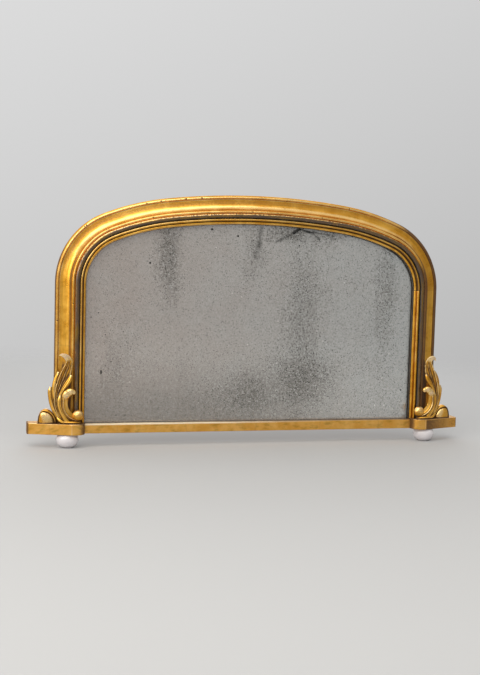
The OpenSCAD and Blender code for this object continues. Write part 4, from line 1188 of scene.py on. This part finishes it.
def turnedMound(m, side):
    # a rolled volute lying on the block: an upright dome, x = half g(h) cos a, depth = halfDepth g(h) sin a,
    # with g = root(1 - h^1.9). Its front is a boss within a rolled rim: e is the share of the way out
    top = 0.9 + 0.0995 * np.sin(np.linspace(0.04, 1, m["topRows"]) * np.pi / 2)
    h = np.concatenate([np.linspace(0, 0.9, m["rows"]), top])[:, None]
    a = np.linspace(0, 2 * np.pi, m["around"], endpoint=False)[None]
    g = held(1 - h ** 1.9) ** 0.5
    p, plain = g * np.cos(a), g * np.sin(a)          # p is -1 on the inner side and 1 on the outer
    e = np.sqrt(held(1 - plain ** 2))
    brink = 0.74 + 0.23 * held(p * 1.5 + 0.1)        # the rim narrows away on the outer side
    boss = 0.42 + 0.58 * np.sqrt(held(1 - (e / brink) ** 2))
    middle, width = (1 + brink) / 2, (1 - brink) / 2
    rim = 0.72 * np.sqrt(held(1 - ((e - middle) / width) ** 2))
    carved = np.where(e < brink, boss, np.where(e < middle, np.maximum(rim, 0.42), rim))
    x = m["centre"][0] + m["half"] * p + m["lean"] * 0.9 * (h ** 1.5 - 0.1)
    z = np.broadcast_to(carving["foot"] + m["height"] * h, x.shape)
    points = np.stack([x, m["centre"][1] + m["halfDepth"] * np.where(plain > 0, carved, plain), z], -1)
    inFront = held(np.sin(a) * 4)
    # painted shade in the crease round the boss and at the foot
    crease = bell(e, brink, 0.035) * inFront * held((0.96 - brink) / 0.1)
    outer = held(p * 1.5 + 0.4) if side > 0 else held(p * 2.4 - 1.1)   # in shade towards the outer side
    # a painted highlight on the boss
    bright = 0.55 + 0.80 * bell(p, 0.05, 0.65) * bell(h, 0.60, 0.45)
    return points, {"wearAndHighlight": (np.where(e < brink, bright, 0.45) * (1 - outer) - 1.5 * crease) * inFront,
                    "dirtAndShade": 0.06 + 0.95 * crease + 1.1 * bell(h, 0, 0.07) + 0.55 * outer + 0.1 * (e > brink)}


def placeCarving(name, carve, material):
    # millimetres to metres, for the right end and, mirrored, for the left
    for side, end in ((1, "right"), (-1, "left")):
        placed = []
        for points, values in carve(side):
            x, depth, z = (points[..., k] * 0.001 for k in range(3))
            placed.append((np.stack([side * x, arch["wall"] - depth, z], -1), values))
        makePiece("carved_" + name + "_" + end, name + "_" + end, placed, material, sharp=60)


carvingPaint = gildedPaint("carvedGilding", {**gilding, "pale": (1.0, 0.72, 0.32)}, worn=1.1, follows=False,
                           deep=True, brush=(40, 40, 40), chalk=0.35)
placeCarving("leaf", lambda side: carvedStrips(leaf, side), carvingPaint)
placeCarving("scroll", lambda side: carvedStrips(scroll, side) + [turnedBall(ball)], carvingPaint)
placeCarving("mound", lambda side: [turnedMound(mound, side)], carvingPaint)
print("carved ornaments made")


def pinePaint(name, light, dark, seed):
    # old rough-sawn softwood: grain along x, saw marks across it, knots, water stains and dust
    paint = Paint(name)
    where = paint.moved(paint.place(), (seed * 3.1, 0, seed * 1.7))
    bent = paint.moved(where, paint.joined(0.0, 0.0, paint.noise(where, 7, 2) * 0.022))
    grain = paint.noise(paint.stretched(bent, (3, 260, 260)), 1, 5, 0.6, 0.2)
    rings = paint.noise(paint.stretched(bent, (0.5, 60, 60)), 1, 2, 0.5)
    saw = paint.add("ShaderNodeTexWave", {"wave_type": "BANDS", "bands_direction": "X"},
                    {"Vector": paint.stretched(where, (1, 1, 0.25)), "Scale": 75, "Distortion": 2.5,
                     "Detail": 2})
    stain = paint.noise(where, 5, 5, 0.65)
    dust = paint.noise(where, 300, 3)
    knots = paint.cells(paint.stretched(where, (3.2, 3.2, 6)), 1)
    tone = paint.mix((grain * 0.5 + rings * 0.5).rise(0.38, 0.62), light, dark)
    tone = paint.mix((1 - knots.rise(0.03, 0.10)) * 0.75, tone, darker(dark, 0.35))
    tone = paint.mix(stain.rise(0.5, 0.75) * 0.5, tone, darker(dark, 0.5))
    tone = paint.mix(saw.rise(0.6, 0.95) * stain * 0.20, tone, darker(dark, 0.6))
    tone = paint.mix(dust.rise(0.62, 0.8) * 0.25, tone, (0.42, 0.37, 0.31))
    paint.surface(Base_Color=tone, Roughness=0.86 - grain * 0.15,
                  Normal=paint.bump(grain * 0.7 + saw * 0.15 + dust * 0.2, 0.5, 0.0007))
    return paint.material


def metalPaint(name, plain, tarnish, rust, metallic, rough):
    # worn metal: cloudy tarnish, fine scratches and specks of corrosion
    paint = Paint(name)
    where = paint.place()
    cloud = paint.noise(where, 120, 4, 0.6)
    speck = paint.noise(where, 900, 4, 0.7)
    scratch = paint.noise(paint.stretched(where, (90, 90, 2400)), 1, 2)
    rusty = (speck * 0.7 + cloud * 0.3).rise(0.52, 0.64)
    tone = paint.mix(rusty * 0.7, paint.mix(cloud.rise(0.3, 0.7), plain, tarnish), rust)
    paint.surface(Base_Color=tone, Metallic=(metallic - rusty * 0.7).clip(),
                  Roughness=(rough + cloud * 0.2 + rusty * 0.25 + (scratch - 0.5) * 0.15).clip(),
                  Normal=paint.bump(speck * 0.5 + scratch * 0.3, 0.3, 0.0003))
    return paint.material


# each board was cut from its own plank: light wood, dark wood, seed
boards = {"backboard_bottom": ((0.36, 0.23, 0.125), (0.21, 0.12, 0.058), 1),
          "backboard_middle": ((0.33, 0.205, 0.11), (0.19, 0.105, 0.05), 2),
          "backboard_top": ((0.38, 0.245, 0.135), (0.22, 0.125, 0.06), 3)}
for node, (light, dark, seed) in boards.items():
    dress(node, pinePaint("pine_" + node, light, dark, seed))
innerPine = pinePaint("pine_inside", (0.42, 0.28, 0.16), (0.26, 0.15, 0.075), 4)
iron = metalPaint("rustedIron", (0.20, 0.19, 0.18), (0.10, 0.085, 0.075), (0.14, 0.055, 0.025), 0.85, 0.45)
brass = metalPaint("dullBrass", (0.52, 0.36, 0.12), (0.28, 0.18, 0.065), (0.10, 0.09, 0.05), 0.95, 0.30)
dressing = {innerPine: ["glazing_blocks", "joint_dowels"],
            iron: ["backboard_nails", "stile_screws", "foot_screws"],
            brass: ["hanger_strap_left", "hanger_strap_right", "hanger_ring_left", "hanger_ring_right",
                    "hanger_screws"]}
for material, nodes in dressing.items():
    for node in nodes:
        dress(node, material)
print("boards, blocks, hangers and fixings dressed")
